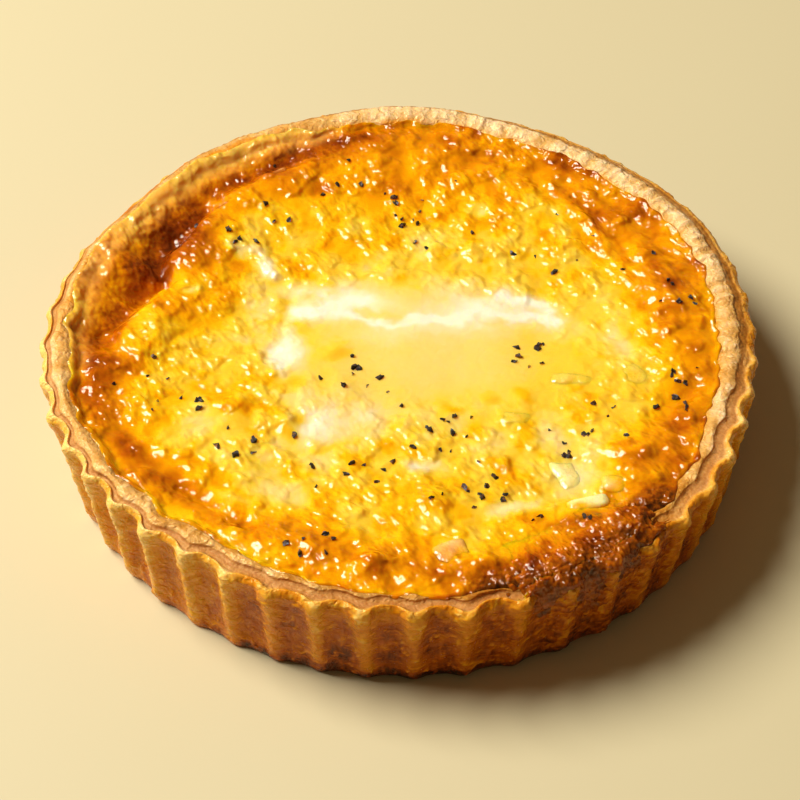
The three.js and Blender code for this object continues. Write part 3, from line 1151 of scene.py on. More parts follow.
    def hollow(self, degrees: Numbers) -> Numbers:
        """How far the flutes go in at each angle.

        Args:
            degrees: Angles, in degrees.

        Returns:
            Their depths.
        """
        turn = np.radians(degrees)
        drift = sum(size * np.sin(waves * turn + start) for waves, start, size in self.DRIFT)
        phase = self.flutes * (turn - math.radians(self.first_ridge) + drift)
        ridge = (0.5 + 0.5 * np.cos(phase)) ** self.sharpness
        waves, start, share = self.UNEVEN
        return self.flute_depth * (1.0 + share * np.sin(waves * turn + start)) * (1.0 - ridge)

    def lip_wave(self, degrees: Numbers) -> Numbers:
        """How far the lip's inner edge wanders in and out at each angle.

        Args:
            degrees: Angles, in degrees.

        Returns:
            Distances, outwards.
        """
        turn = np.radians(degrees)
        circle = around(self.rim_radius, turn, self.rim_radius / 2.0)
        uneven = self.noise.layered(circle, 20.0, 2)
        lobe = np.abs(np.sin(11.0 * turn + 2.0 * uneven)) - 0.64
        return 1.1 * self.noise.layered(circle, 7.0, 2) - 2.2 * self.lobes.at(degrees) * lobe

    def rim_wave(self, degrees: Numbers) -> Numbers:
        """How far the rim wanders in and out at each angle."""
        circle = around(self.rim_radius, np.radians(degrees), 0.0)
        return 0.9 * self.noise.layered(circle, 11.0, 2)

    def share_of_rim(self, height: Numbers, radius: Numbers) -> Numbers:
        """How much of the rim's wave a point takes: all on the trimmed face and the lip."""
        high = step(self.height - 9.0, self.height - 2.0, height)
        return high * step(self.rim_radius - 18.0, self.rim_radius - 8.0, radius)

    def press_flutes(self, plain: bpy.types.Object, finish: bpy.types.Material) -> bpy.types.Object:
        """Presses the flutes into the plain case and keeps the result as a plain mesh.

        Args:
            plain: The case without flutes, which is used up.
            finish: Its material.

        Returns:
            The fluted case.
        """
        sizes = {
            "Flutes": self.flutes, "Depth": self.flute_depth * MM, "Sharpness": self.sharpness,
            "First Ridge": math.radians(self.first_ridge), "Finish": finish,
        }
        return run_tree(plain, self.fluting_tree(), sizes, "pastry_case")

    def shape_surface(self, mesh: bpy.types.Mesh, rows: Numbers, degrees: Numbers) -> None:
        """Gives the case its fine relief and the numbers that its finish reads.

        Args:
            mesh: The fluted case.
            rows: Its section before fluting, by rows and columns.
            degrees: The angle of each column.
        """
        row = np.concatenate([np.repeat(np.arange(len(rows)), self.columns), [0, len(rows) - 1]])
        angle = np.concatenate([np.tile(degrees, len(rows)), [0.0, 0.0]])
        ridge = np.empty(len(mesh.vertices), dtype=np.float32)
        mesh.attributes["ridge"].data.foreach_get("value", ridge)
        surface = CaseSurface(self, points_of(mesh), ridge, row, angle)
        normals = vectors_of(mesh.vertex_normals, "vector")
        moved = (surface.points + normals * surface.relief()[:, None]) * MM
        mesh.vertices.foreach_set("co", moved.astype(np.float32).ravel())
        mesh.update()
        keep_values(mesh, surface.values())


@dataclass
class CaseSurface:
    """The fluted case's surface, point by point.

    Attributes:
        case: The case.
        points: Its points after fluting.
        ridge: 1 where a point is on the crest of a flute, 0 in a valley.
        row: Its row, counted along the section from the underside.
        angle: Its angle.
    """

    LONG_STREAKS: ClassVar[Triple] = (1.0, 1.0, 0.16)
    case: PastryCase
    points: Numbers
    ridge: Numbers
    row: Numbers
    angle: Numbers

    def __post_init__(self) -> None:
        """Works out the places and the patterns that the relief and the tone share."""
        points, angle, noise = self.points, self.angle, self.case.noise
        self.height = points[:, 2]
        self.starts = dict(zip(self.case.STEPS, np.cumsum([0, *self.case.STEPS.values()])))
        self.outside = self.within("foot", "skin_top")
        self.cut = self.within("band_out", "bead", 1.0)
        self.inside = step(self.starts["lip_fall"] - 2, self.starts["lip_inside"], self.row)
        self.overflow, self.trim = self.case.overflow.at(angle), self.case.trim.at(angle)
        self.front = bell(half_turn(angle - 272.0), 42.0)

        turn, reach = np.radians(angle), np.hypot(points[:, 0], points[:, 1])
        coarse = noise.layered(around(36.0, turn, reach / 9.0), 2.4, 2, 0.4)
        pleats = noise.layered(around(90.0, turn, reach / 9.0), 2.0, 2, 0.6)
        fine = bell(half_turn(angle - 30.0), 70.0)
        self.crimps = mix(0.7 * coarse, 1.05 * pleats, fine)
        self.lumps = noise.layered(points, 11.0, 2)
        self.blisters = step(0.2, 0.5, noise.layered(points, 3.0, 2))
        self.layers = noise.layered(around(6.0, turn, reach), 0.9, 2)
        self.crust = noise.ridged(points, 2.2, 2)
        self.cracks = step(0.72, 0.9, noise.ridged(points + 40.0, 8.0, 2, 0.7))
        self.drawn = points * np.array(self.LONG_STREAKS)

        ragged = 3.0 * noise.layered(points, 4.0, 3)
        self.near_base = (1.0 - step(0.5, 6.0, self.height + ragged)) * self.front
        sagging = self.height / 40.0 + 0.3 * (1.0 - self.ridge) + 0.6 * noise.layered(self.drawn, 8.0, 2)
        sagging = sagging + 0.3 * bell(angle - 300.0, 6.0)
        drips = self.overflow * step(-0.1, 0.7, sagging)
        self.scorch = np.clip(drips * self.outside + 0.9 * self.near_base, 0.0, 1.0)

    def within(self, first: str, last: str, soft: float = 1.5) -> Numbers:
        """1 on the rows from one named point to another, 0 before and after."""
        begin, end = self.starts[first], self.starts[last]
        return step(begin - soft, begin + soft, self.row) * (1.0 - step(end - soft, end + soft, self.row))

    def relief(self) -> Numbers:
        """How far each point moves outwards.

        Returns:
            One distance a point.
        """
        noise, lip_glaze = self.case.noise, self.case.glaze.at(self.angle)
        streaks = noise.layered(self.drawn, 2.2, 2)
        teeth = noise.layered(self.points, 1.6, 2) * (1.0 - self.trim)
        heads = bell(self.height - 29.0, 4.0) * self.case.rim_fluting.at(self.angle)
        heads = heads * (1.0 - self.overflow)
        crest = self.ridge**2 * noise.layered(self.points + 70.0, 2.8, 2)
        lip = self.within("bead", "lip_fall", 2.5)
        on_wall = (
            0.6 * self.lumps + 0.4 * self.blisters + 0.25 * streaks
            + heads * (0.25 + 0.5 * self.ridge) + 0.4 * crest
        )
        on_lip = 0.9 * self.crimps + 0.25 * self.lumps + 0.15 * self.blisters
        return (
            self.outside * step(0.6, 3.0, self.height) * on_wall
            + lip * (1.0 - 0.7 * lip_glaze) * on_lip
            + self.cut * (0.15 * self.layers + 0.35 * teeth)
            + self.outside * (self.scorch * 0.9 * self.crust + 0.4 * self.cracks * self.front)
        )

    def wall_tone_and_shade(self) -> Numbers:
        """How dark the wall's colour is: its browning, with painted shade and painted highlights.

        Returns:
            One tone a point, from 0, pale, to 1, dark.
        """
        return (
            # Darker towards the bottom, paler near the top partly as painted light, and paler crests
            # partly as a painted highlight.
            self.case.wall_tone_and_shade.at(self.angle)
            + 0.16 - 0.16 * self.height / self.case.height
            - self.case.crest_paling_and_highlight.at(self.angle) * self.ridge**1.5
            - 0.05 * bell(self.height - 31.0, 2.4)
            - 0.1 * self.blisters
            - 0.3 * self.cracks * self.front
            + 0.14 * self.lumps
            - 0.05 * step(24.0, 31.0, self.height) * (1.0 - self.overflow)
            + 0.3 * self.near_base
        )

    def values(self) -> dict[str, Numbers]:
        """The numbers that the finish reads, by name.

        Returns:
            One array of numbers for each name.
        """
        case, starts = self.case, self.starts
        # Pleats paler on their crests and darker in their hollows: painted highlight and painted shade.
        lip_tone = case.lip_tone.at(self.angle) - 0.2 * self.crimps
        lip_tone = lip_tone + 0.14 * self.lumps + 0.12 * self.inside
        tone = mix(self.wall_tone_and_shade(), lip_tone, step(starts["skin_top"] - 1, starts["bead"], self.row))
        skin_edge = self.within("skin_out", "band_out", 1.0) + 0.7 * self.within("bead", "lip_out", 1.5)
        tone = tone - 0.12 * skin_edge * self.trim * (1.0 - self.overflow)
        glaze = case.glaze.at(self.angle) * step(starts["lip_out"] - 1, starts["lip_crest"] + 1, self.row)
        ran_in = self.inside * (0.25 + 0.75 * step(-0.2, 0.4, self.lumps))
        film = np.maximum(ran_in, glaze * (0.8 + 0.3 * self.lumps))
        darkest = 0.86 + 0.12 * self.near_base
        return {
            # The pastry's browning, with the wall's painted shade and the crests' painted highlight.
            "browning": np.clip(tone + self.scorch * (0.4 * self.crust - 0.04), 0.0, darkest),
            "cut": self.cut * (1.0 - 0.8 * self.overflow) * np.clip(0.85 + 0.5 * self.layers, 0.0, 1.0),
            "baked": 1.0 - self.trim,
            "upper": step(starts["skin_out"] - 3.0, starts["bead"], self.row),
            "scorch": self.scorch,
            "film": np.clip(film, 0.0, 1.0),
        }


def run_tree(
    plain: bpy.types.Object,
    tree: bpy.types.NodeTree,
    sizes: dict[str, Any],
    name: str,
    smooth: bool = True,
) -> bpy.types.Object:
    """Runs a geometry node tree on a piece and keeps the result as a plain mesh.

    Args:
        plain: The piece that goes in, which is used up.
        tree: The tree.
        sizes: The tree's inputs, by name.
        name: The new piece's name.
        smooth: Whether its faces are shaded as one smooth surface.

    Returns:
        The new piece.
    """
    modifier = plain.modifiers.new("tree", "NODES")
    modifier.node_group = tree
    for socket in tree.interface.items_tree:
        if socket.in_out == "INPUT" and socket.name in sizes:
            modifier[socket.identifier] = sizes[socket.name]
    plain.update_tag()
    evaluated = plain.evaluated_get(bpy.context.evaluated_depsgraph_get())
    mesh = bpy.data.meshes.new_from_object(evaluated)
    mesh.name = name
    bpy.data.objects.remove(plain)
    mesh.polygons.foreach_set("use_smooth", np.full(len(mesh.polygons), smooth))
    return add_to_scene(name, mesh)


# ---- Custard ---------------------------------------------------------------------


@dataclass
class Custard:
    """The filling: pale and smooth in the middle, wrinkled and browned towards the rim.

    Attributes:
        case: What it was baked in.
        level: Its height in the middle.
        grid: How many faces lie across its surface.
        gap: How far it stays from the case below its surface.
        film_thickness: How thick it is where it laps over the lip.
        fall_over_lip: How far it would fall there if no lip held it up.
        tucked_in: How far its edge goes into the pastry.
        plain_tone: How brown it is before any mark.
        darkest_tone: How brown its marks can get.
    """

    case: PastryCase
    level: float = 28.6
    grid: int = 296
    gap: float = 0.3
    film_thickness: float = 0.25
    fall_over_lip: float = 2.4
    tucked_in: float = 0.5
    plain_tone: float = 0.4
    darkest_tone: float = 0.95
    edge: RoundTheCase = RoundTheCase((
        (0, 32), (60, 32.2), (95, 32.6), (125, 33), (150, 33.2), (168, 32.6), (185, 31.4), (225, 31.4),
        (250, 32.4), (285, 32.8), (304, 32.6), (320, 32), (340, 31.8),
    ))
    crease_depth: RoundTheCase = RoundTheCase((
        (100, 0.4), (118, 3), (140, 6.2), (165, 6.6), (178, 4), (188, 0.8), (215, 0.8),
        (230, 0), (340, 0),
    ))
    crease_place: RoundTheCase = RoundTheCase((
        (100, 0.93), (118, 0.92), (138, 0.89), (152, 0.88), (160, 0.81), (168, 0.85), (178, 0.9),
    ))
    spill_rise: RoundTheCase = RoundTheCase(((284, 0), (293, -1), (311, -1), (320, 0)))
    lap: RoundTheCase = RoundTheCase((
        (0, 1.6), (60, 1.6), (98, 0.8), (120, 3.6), (150, 4), (168, 3.6), (180, 2.2), (212, 2),
        (240, 1.6), (262, 1.2), (290, 1.8), (320, 1.4), (340, 1.4),
    ))
    mounds: tuple[Spot, ...] = (
        Spot((-20, -78), (25, 8), -6, 1.5),
        Spot((-7, -84), (5, 3.4), 12, 1.4),
        Spot((20, -84), (12, 4), 8, 1.0),
        Spot((-83, -11), (11, 7), 80, 2.2),
        Spot((-68, 8), (13, 8), 60, 1.6),
        Spot((-60, 38), (10, 12), 60, 1.8),
        Spot((-38, 66), (16, 7), 35, 1.4),
        Spot((61, -42), (9, 4.4), 16, 1.7),
        Spot((46, -69), (5, 4.6), 0, 2),
        Spot((60, -66), (17, 7), 48, 1),
        Spot((61, -51), (9, 5), 30, 1.2),
        Spot((78, 10), (26, 8), 98, 1.0),
        Spot((-46, -42), (6, 15), 10, 1.0),
        Spot((12, -62), (8, 7), 0, 0.9),
        Spot((5, 84), (22, 6), 0, 1.0),
    )
    grooves: tuple[Line, ...] = (
        Line(((-34, 27), (-33, 12), (-38, -6)), 1.3, 0.4),
        Line(((-58, 47), (-37, 30)), 3, -0.6),
        Line(((-60, -56), (-42, -69)), 2.6, 1.5),
        Line(((-14, 13), (-7, 8), (2, 7)), 1.5, 0.35),
        Line(((22, 12), (27, 8.5), (36, 8)), 1.4, 0.3),
        Line(((39, 70), (58, 33)), 3, 1.1),
        Line(((49, 66), (68, 32)), 2.6, 1.2),
        Line(((59, 64), (77, 34)), 2.6, 0.9),
        Line(((71, -30), (84, -16)), 3, 1.2),
        Line(((30, -58), (56, -60)), 3, 1.3),
    )
    blisters: tuple[Spot, ...] = (
        Spot((33.3, -21.7), (2.6, 2.6), 0, 0.8),
        Spot((24, -22), (1.8, 1.8), 0, 0.5),
        Spot((12.4, -27.9), (3.2, 2.8), 0, 0.9),
        Spot((-46, -24.8), (4.5, 5), 0, 1.6),
        Spot((-32.3, -31.7), (4, 4.6), 20, 1.4),
        Spot((-19.2, -3.2), (4, 2.6), 30, 0.7),
        Spot((-17, -16), (3, 5), 10, 0.5),
        Spot((6.3, -60.3), (6, 4.4), 0, 1.2),
        Spot((-9, -83.4), (4.2, 2.6), 10, 1.3),
    )
    brown_spots: tuple[Spot, ...] = (
        Spot((-86, -12), (8, 18), 8, 0.66),
        Spot((-73, 34), (7, 12), -12, 0.45),
        Spot((72, 17), (10, 16), 0, 0.34),
        Spot((-80, -34), (7, 14), 28, 0.36),
        Spot((-64, 12), (11, 7), -25, 0.3),
        Spot((-83, 9), (4, 7), 4, 0.45),
        Spot((-91, 22), (4, 8), 10, 0.45),
        Spot((-89, 33), (4, 6), 25, 0.3),
        Spot((-16, 42), (9, 6), 0, 0.14),
        Spot((0, 66), (26, 12), 0, 0.36),
        Spot((-40, 63), (14, 6), 35, 0.36),
        Spot((-61, 42), (7, 12), -30, 0.36),
        Spot((74, -30), (6, 14), -24, 0.22),
        Spot((0, -58), (18, 7), 0, 0.12),
        Spot((-61, 38), (9, 12), -20, 0.5),
        Spot((-50, 30), (8, 9), 0, 0.16),
        Spot((-54, 18), (7, 5), 0, 0.2),
        Spot((-28, 79), (24, 7), 22, 0.5),
        Spot((-24.6, 64.8), (6, 3.4), 10, 0.5),
        Spot((2, 84), (16, 7), 0, 0.3),
        Spot((19, 77), (9, 5), 20, 0.25),
        Spot((46, 74), (14, 6), -30, 0.24),
        Spot((62, 56), (20, 6), -48, 0.24),
        Spot((59, 46), (14, 4), -60, 0.34),
        Spot((78, 30), (20, 5), 105, 0.2),
        Spot((82, -6), (13, 5), 90, 0.2),
        Spot((80, -28), (12, 5), 75, 0.1),
        Spot((63, -43), (10, 6), 25, 0.1),
        Spot((61, -41), (4, 2), 20, 0.4),
        Spot((65, -62), (13, 5), 44, 0.5),
        Spot((66, -66), (5, 4), 40, 0.5),
        Spot((59, -47), (4, 2.6), 20, 0.4),
        Spot((73, -50), (5, 3), 50, 0.35),
        Spot((46, -69), (4.6, 4.4), 0, 0.5),
        Spot((-31, -73), (18, 8), -20, 0.4),
        Spot((-66, -50), (16, 6), -50, 0.4),
        Spot((-50, -52), (12, 3), -36, 0.35),
        Spot((-10, -80), (15, 6), -3, 0.24),
        Spot((-9, -83.4), (4, 3), 10, 0.5),
        Spot((24, -87), (9, 3.5), 8, 0.5),
        Spot((-54, -61), (14, 4), -40, 0.4),
        Spot((-73, -42), (10, 4), -55, 0.35),
        Spot((-46, -24.8), (5, 5.5), 0, 0.35),
        Spot((-32.3, -31.7), (4.5, 5), 20, 0.3),
        Spot((33.3, -21.7), (3, 3), 0, 0.22),
        Spot((24, -22), (2, 2), 0, 0.15),
        Spot((12.4, -27.9), (3.4, 3), 0, 0.3),
        Spot((-19.2, -3.2), (5, 3), 30, 0.15),
        Spot((6.3, -60.3), (7, 5), 0, 0.25),
        Spot((8, -84), (7, 4), 0, 0.2),
    )
    brown_lines: tuple[Line, ...] = (
        Line(((-72, 31), (-70, 38), (-65, 50), (-62, 54)), 5.6, 0.9),
        Line(((-83, 3), (-80, 14), (-76, 24), (-73, 31)), 4.2, 0.5),
        Line(((-55, 64), (-50, 67), (-42, 72)), 3.6, 0.6),
        Line(((-43, 71), (-33, 81), (-14, 85)), 4.5, 0.5),
        Line(((-89, 4), (-86, 26), (-78, 44), (-64, 64), (-46, 78), (-24, 87)), 8, 0.08),
        Line(((22, -92), (38, -87), (50, -80), (62, -71), (69, -65)), 4.2, 0.85),
        Line(((-12, 14), (-8, 10.6), (-1, 10)), 1.2, 0.16),
        Line(((39, 70), (49, 58), (58, 33)), 3, 0.22),
        Line(((47, 63), (54, 54), (62, 41), (67, 31)), 1.8, 0.3),
        Line(((42, 76), (60, 68), (69, 56), (76, 44)), 1.8, 0.25),
        Line(((66, 46), (74, 32), (77, 18)), 2, 0.25),
        Line(((18, 80), (32, 72), (42, 58)), 1.8, 0.2),
    )
    pale_spots: tuple[Spot, ...] = (
        Spot((2, 16), (44, 13), -3, -0.12),
        Spot((-20, 17), (15, 7), -6, -0.22),
        Spot((-30, 12), (5, 4), 0, -0.2),
        Spot((5, 60), (6, 5), 0, -0.1),
        Spot((-54, -24), (8, 8), 0, -0.06),
        Spot((-33, -2), (5, 9), 12, -0.26),
        Spot((18, 13), (13, 5), -4, -0.1),
        Spot((30, 15), (17, 6), -14, -0.1),
        Spot((44, 9), (15, 6), -30, -0.1),
        Spot((8, 6), (26, 5), 4, -0.06),
        Spot((10, -4), (34, 14), 0, -0.05),
        Spot((6, -14), (48, 32), -4, -0.08),
        Spot((-43, 14), (5, 17), 4, -0.12),
        Spot((-22, -36), (11, 10), 0, -0.14),
        Spot((-30, -53), (10, 9), 60, -0.14),
        Spot((-14, -28), (10, 10), 0, -0.12),
        Spot((63, 2), (7, 13), 0, -0.22),
        Spot((44, -40), (16, 10), -20, -0.1),
        Spot((46, -57), (12, 9), 30, -0.2),
        Spot((28, -63), (9, 3.8), 18, -0.26),
        Spot((23, 54), (4.5, 2.8), 0, -0.2),
        Spot((12, 42), (16, 8), 0, -0.1),
        Spot((3, 74), (2.4, 12), 0, -0.12),
        Spot((-54, -40), (9, 14), 20, -0.1),
        Spot((-62, 19), (3.4, 2.2), 10, -0.3),
        Spot((5, -46.5), (3.6, 2.8), 0, -0.26),
        Spot((16, -76), (6, 4), 0, -0.2),
        Spot((-40, -59), (10, 7), -20, -0.14),
    )
    pale_lines: tuple[Line, ...] = (
        Line(((-30, 14), (-18, 16), (-8, 9), (6, 9), (18, 11)), 1.6, -0.16),
        Line(((22, 13), (27, 10), (38, 9), (46, 9)), 1.4, -0.16),
        Line(((26, 19), (34, 17), (44, 12)), 1.6, -0.14),
        Line(((-58, 47), (-48, 37), (-38, 28)), 2.4, -0.34),
        Line(((-37, -4), (-30, -20), (-24, -36)), 4.5, -0.12),
    )
    edge_tone: RoundTheCase = RoundTheCase((
        (0, 0.19), (30, 0.15), (60, 0.15), (90, 0.2), (115, 0.22), (140, 0.22), (180, 0.19), (205, 0.07),
        (245, 0.06), (262, 0.12), (300, 0.26), (330, 0.28), (345, 0.24),
    ))
    # Tone where the custard meets and laps over the lip: browner on the film over the lip, and lighter by
    # the lip at the back left as painted light on a slope that faces away from the key light.
    lap_tone_and_light: RoundTheCase = RoundTheCase((
        (0, 0.18), (98, 0.18), (110, -0.14), (150, -0.14), (158, 0.0), (166, 0.14), (173, -0.2),
        (188, -0.16), (196, 0.18),
    ))
    film: RoundTheCase = RoundTheCase((
        (0, 0), (100, 0), (110, 0.8), (150, 0.8), (160, 0.7), (170, 0.5), (184, 0.4), (192, 0),
    ))
    calm: Spot = Spot((9, -2), (52, 30), -6, 1.0)
    burnt_corner: Line = Line(((20, -93), (38, -87), (50, -80), (62, -71), (70, -62)), 6, 1.0)
    burnt_blot: Spot = Spot((64, -64), (7, 6), 45, 0.8)
    burnt_film: Line = Line(((-84, 6), (-78, 30), (-70, 44), (-58, 62), (-40, 77), (-20, 84)), 8, 0.4)
    noise: SolidNoise = field(default_factory=lambda: SolidNoise(23))

    def patches(
        self, x: Numbers, y: Numbers, shift: float, size: float, layers: int = 2, fade: float = 0.5
    ) -> Numbers:
        """Noise over the surface, which each use shifts to get a pattern of its own."""
        return self.noise.layered(plane_points(x, y) + shift, size, layers, fade)

    def out_to_lip(self, x: Numbers, y: Numbers) -> tuple[Numbers, Numbers]:
        """Each point's angle, and how far out it is as a share of the way to the lip."""
        degrees = np.degrees(np.arctan2(y, x))
        return degrees, np.hypot(x, y) / self.case.section(degrees)["lip_inside"][0]

    def outline(self, degrees: Numbers) -> Numbers:
        """The custard's radius where it meets the case."""
        radius, height, _ = self.case.section(degrees)["lip_inside"]
        return radius + self.case.rim_wave(degrees) * self.case.share_of_rim(height, radius)

    def lapping(self, degrees: Numbers) -> Numbers:
        """How far the custard laps over the lip, in and out in small waves."""
        circle = around(self.case.rim_radius, np.radians(degrees), 0.3 * self.case.rim_radius)
        return np.maximum(self.lap.at(degrees) + 1.8 * self.noise.layered(circle, 8.0, 2), 0.4)

    def height(self, x: Numbers, y: Numbers) -> Numbers:
        """The surface's height without wrinkles.

        Args:
            x: Points' x.
            y: Points' y.

        Returns:
            Their heights.
        """
        degrees, share = self.out_to_lip(x, y)
        folds = self.patches(x, y, 90.0, 12.0)
        outwards = share - self.crease_place.at(degrees) + 0.02 * folds
        crease = self.crease_depth.at(degrees) * bell(outwards, np.where(outwards > 0, 0.085, 0.045))
        crease = crease * (1.0 + 0.5 * folds)
        swell = 0.5 * np.sin(x / 13.0 + 1.3) * np.sin(y / 11.0 + 0.4)
        ripple = 0.3 * np.sin((x + y) / 7.5 + 2.1) * np.sin((x - y) / 9.0 + 0.7)
        forms = sum(mound.mound(x, y) for mound in self.mounds)
        xs = x + 2.2 * self.patches(x, y, 60.0, 9.0)
        ys = y + 2.2 * self.patches(x, y, 69.0, 9.0)
        forms = forms - sum(groove.on(xs, ys) for groove in self.grooves)
        return (
            mix(self.level, self.edge.at(degrees), step(0.5, 1.0, share))
            - crease
            + (1.0 - step(0.86, 1.0, share)) * (swell + ripple)
            + (1.0 - step(0.94, 1.0, share)) * forms
            + self.spill_rise.at(degrees) * step(0.86, 1.0, share)
        )

    def smoothness(self, x: Numbers, y: Numbers) -> Numbers:
        """1 where the custard is calm, 0 where it is wrinkled.

        Args:
            x: Points' x.
            y: Points' y.

        Returns:
            One value a point.
        """
        ragged = 0.25 * self.patches(x, y, 0.0, 14.0)
        calm = self.calm.reach(x, y) + ragged
        pale = -sum(spot.stain(x, y) for spot in self.pale_spots) + 0.12 * ragged
        return np.maximum(0.95 - 0.95 * step(0.55, 1.2, calm), 0.7 * step(0.08, 0.26, pale))

    def domes(self, x: Numbers, y: Numbers) -> Numbers:
        """1 on the small bubbles that rose through the custard and browned."""
        rough = 1.0 - self.smoothness(x, y)
        return rough * step(0.26, 0.8, self.patches(x, y, 21.0, 6.5, 1))

    def scorch(self, x: Numbers, y: Numbers) -> Numbers:
        """1 where the custard is burnt to a grainy crust."""
        burnt = self.burnt_corner.on(x, y) + self.burnt_blot.mound(x, y) + self.burnt_film.on(x, y)
        return np.clip(burnt, 0.0, 1.0)

    def wrinkles(self, x: Numbers, y: Numbers) -> Numbers:
        """The skin's wrinkles and blisters, in millimetres.

        Args:
            x: Points' x.
            y: Points' y.

        Returns:
            Their height at each point.
        """
        rough = 1.0 - self.smoothness(x, y)
        drift = 2.0 * self.patches(x, y, 50.0, 12.0)
        drawn = plane_points(x + drift, y - drift, -60.0, mix(1.2, 2.0, step(0.0, 60.0, x)))
        creases = self.noise.layered(drawn, 4.2, 2, 0.6)
        bubbles = self.patches(x, y, 9.0, 7.0)
        grains = self.noise.ridged(plane_points(x, y) + 3.0, 2.4, 2)
        scorch = self.scorch(x, y)
        spots = sum(blister.mound(x, y) for blister in self.blisters) + 0.7 * self.domes(x, y)
        lively = 0.3 + 0.7 * step(-0.25, 0.3, self.patches(x, y, 5.0, 17.0))
        return (
            rough * lively * (1.0 - 0.6 * scorch) * (0.36 * creases + 0.75 * bubbles)
            + 0.05 * bubbles
            + scorch * 0.8 * grains
            + spots
        )

    def browning(self, x: Numbers, y: Numbers, relief: Numbers) -> Numbers:
        """How dark the custard's colour is, from 0, cream, to 1, burnt: its browning, with painted light
        by the lip and painted shade in the wrinkles.

        Args:
            x: Points' x.
            y: Points' y.
            relief: The height of the wrinkles there, which pales the peaks and deepens the hollows as
                painted highlight and painted shade.

        Returns:
            One value a point.
        """
        rough = 1.0 - self.smoothness(x, y)
        xs = x + 4.5 * self.patches(x, y, 11.0, 9.0, 3, 0.6)
        ys = y + 4.5 * self.patches(x, y, 77.0, 9.0, 3, 0.6)
        degrees, share = self.out_to_lip(x, y)
        tone = self.plain_tone + self.edge_tone.at(degrees) * step(0.74, 0.96, share)
        # Lighter by the lip at the back left as painted light; browner where the custard laps over the
        # lip.
        lap_tone_and_light = self.lap_tone_and_light.at(degrees)
        tone = tone + lap_tone_and_light * np.where(lap_tone_and_light < 0, step(0.94, 1.0, share), step(1.0, 1.015, share))
        blotches = self.patches(x, y, 31.0, 9.0, 3)
        tone = tone + rough * (0.15 * blotches + 0.1 * step(0.1, 0.4, blotches))
        tone = tone - 0.08 * bell(np.hypot(x - 6.0, y + 8.0), 55.0)
        tone = tone + sum(spot.stain(xs, ys) for spot in self.pale_spots)
        tone = tone + sum(line.on(xs, ys) for line in self.pale_lines)
        left = np.ones_like(x)
        for mark in self.brown_spots:
            left = left * (1.0 - mark.stain(xs, ys))
        for mark in self.brown_lines:
            left = left * (1.0 - mark.on(xs, ys))
        left = left * (1.0 - 0.12 * self.domes(x, y))
        # Less the wrinkles' height: paler peaks and deeper hollows, as painted highlight and painted
        # shade.
        return mix(np.clip(tone, 0.0, 1.0), self.darkest_tone, 1.0 - left) - 0.08 * rough * relief

    def build(self, finish: bpy.types.Material, pastry_case: bpy.types.Object) -> bpy.types.Object:
        """Builds the custard.

        Args:
            finish: Its material.
            pastry_case: The finished case, which it laps over.

        Returns:
            The finished piece.
        """
        turn, share = self.round_grid()
        degrees = np.degrees(turn)
        outline, lap = self.outline(degrees), self.lapping(degrees)
        radius = share * (outline + lap)
        x, y = radius * np.cos(turn), radius * np.sin(turn)
        relief = self.wrinkles(x, y)
        surface = self.height(x, y) + relief
        onto = (radius - outline) / lap
        near = onto > -1.5
        pastry = heights_on(pastry_case, x[near], y[near])
        surface[near] = self.over_lip(surface[near], relief[near], pastry, onto[near])
        points = np.stack([x, y, surface], axis=-1)
        count = self.grid + 1
        number = np.arange(count * count).reshape(count, count)
        corners = [number[:-1, :-1], number[:-1, 1:], number[1:, 1:], number[1:, :-1]]
        faces = np.stack([corner.ravel() for corner in corners], axis=-1).tolist()
        rim = np.concatenate([number[0, :-1], number[:-1, -1], number[-1, :0:-1], number[:0:-1, 0]])
        points, faces = self.close_below(points, faces, rim)
        x, y = points[:, 0], points[:, 1]
        extra = np.zeros(len(points) - count * count)
        thin = self.film.at(degrees) * step(0.94, 1.0, radius / outline)
        values = {
            "browning": self.browning(x, y, np.concatenate([relief, extra])),
            "rough": 1.0 - self.smoothness(x, y),
            "scorch": self.scorch(x, y),
            "thin": np.concatenate([thin, extra]),
        }
        return make_piece("custard_filling", points, faces, values, finish)

    def round_grid(self) -> tuple[Numbers, Numbers]:
        """A square grid drawn out to a disc.

        Returns:
            The angle of each point, in radians, and its share of the way out.
        """
        line = np.linspace(-1.0, 1.0, self.grid + 1)
        across, up = np.meshgrid(line, line)
        share = np.maximum(np.abs(across), np.abs(up))
        wide = np.abs(across) >= np.abs(up)
        small = np.where(wide, up, across)
        quarter = np.divide(small, share, out=np.zeros_like(small), where=share > 0) * math.pi / 4.0
        turn = np.where(
            wide,
            np.where(across >= 0, quarter, math.pi - quarter),
            np.where(up >= 0, math.pi / 2.0 - quarter, -math.pi / 2.0 + quarter),
        )
        return turn.ravel(), share.ravel()

    def over_lip(self, surface: Numbers, relief: Numbers, pastry: Numbers, onto: Numbers) -> Numbers:
        """Lays the custard's edge over the lip as a film that ends in the pastry.

        Args:
            surface: The custard's height.
            relief: The height of its wrinkles.
            pastry: The height of the pastry there.
            onto: How far out each point is, from 0 where custard meets case to 1 at its end.

        Returns:
            The height of the finished surface.
        """
        falling = surface - self.fall_over_lip * step(-0.1, 1.0, onto)
        film = pastry + self.film_thickness + (0.3 + 0.5 * relief) * (1.0 - step(0.0, 0.9, onto))
        joined = (falling + film + np.hypot(falling - film, 0.7)) / 2.0
        return mix(joined, pastry - self.tucked_in, step(0.8, 1.0, onto))

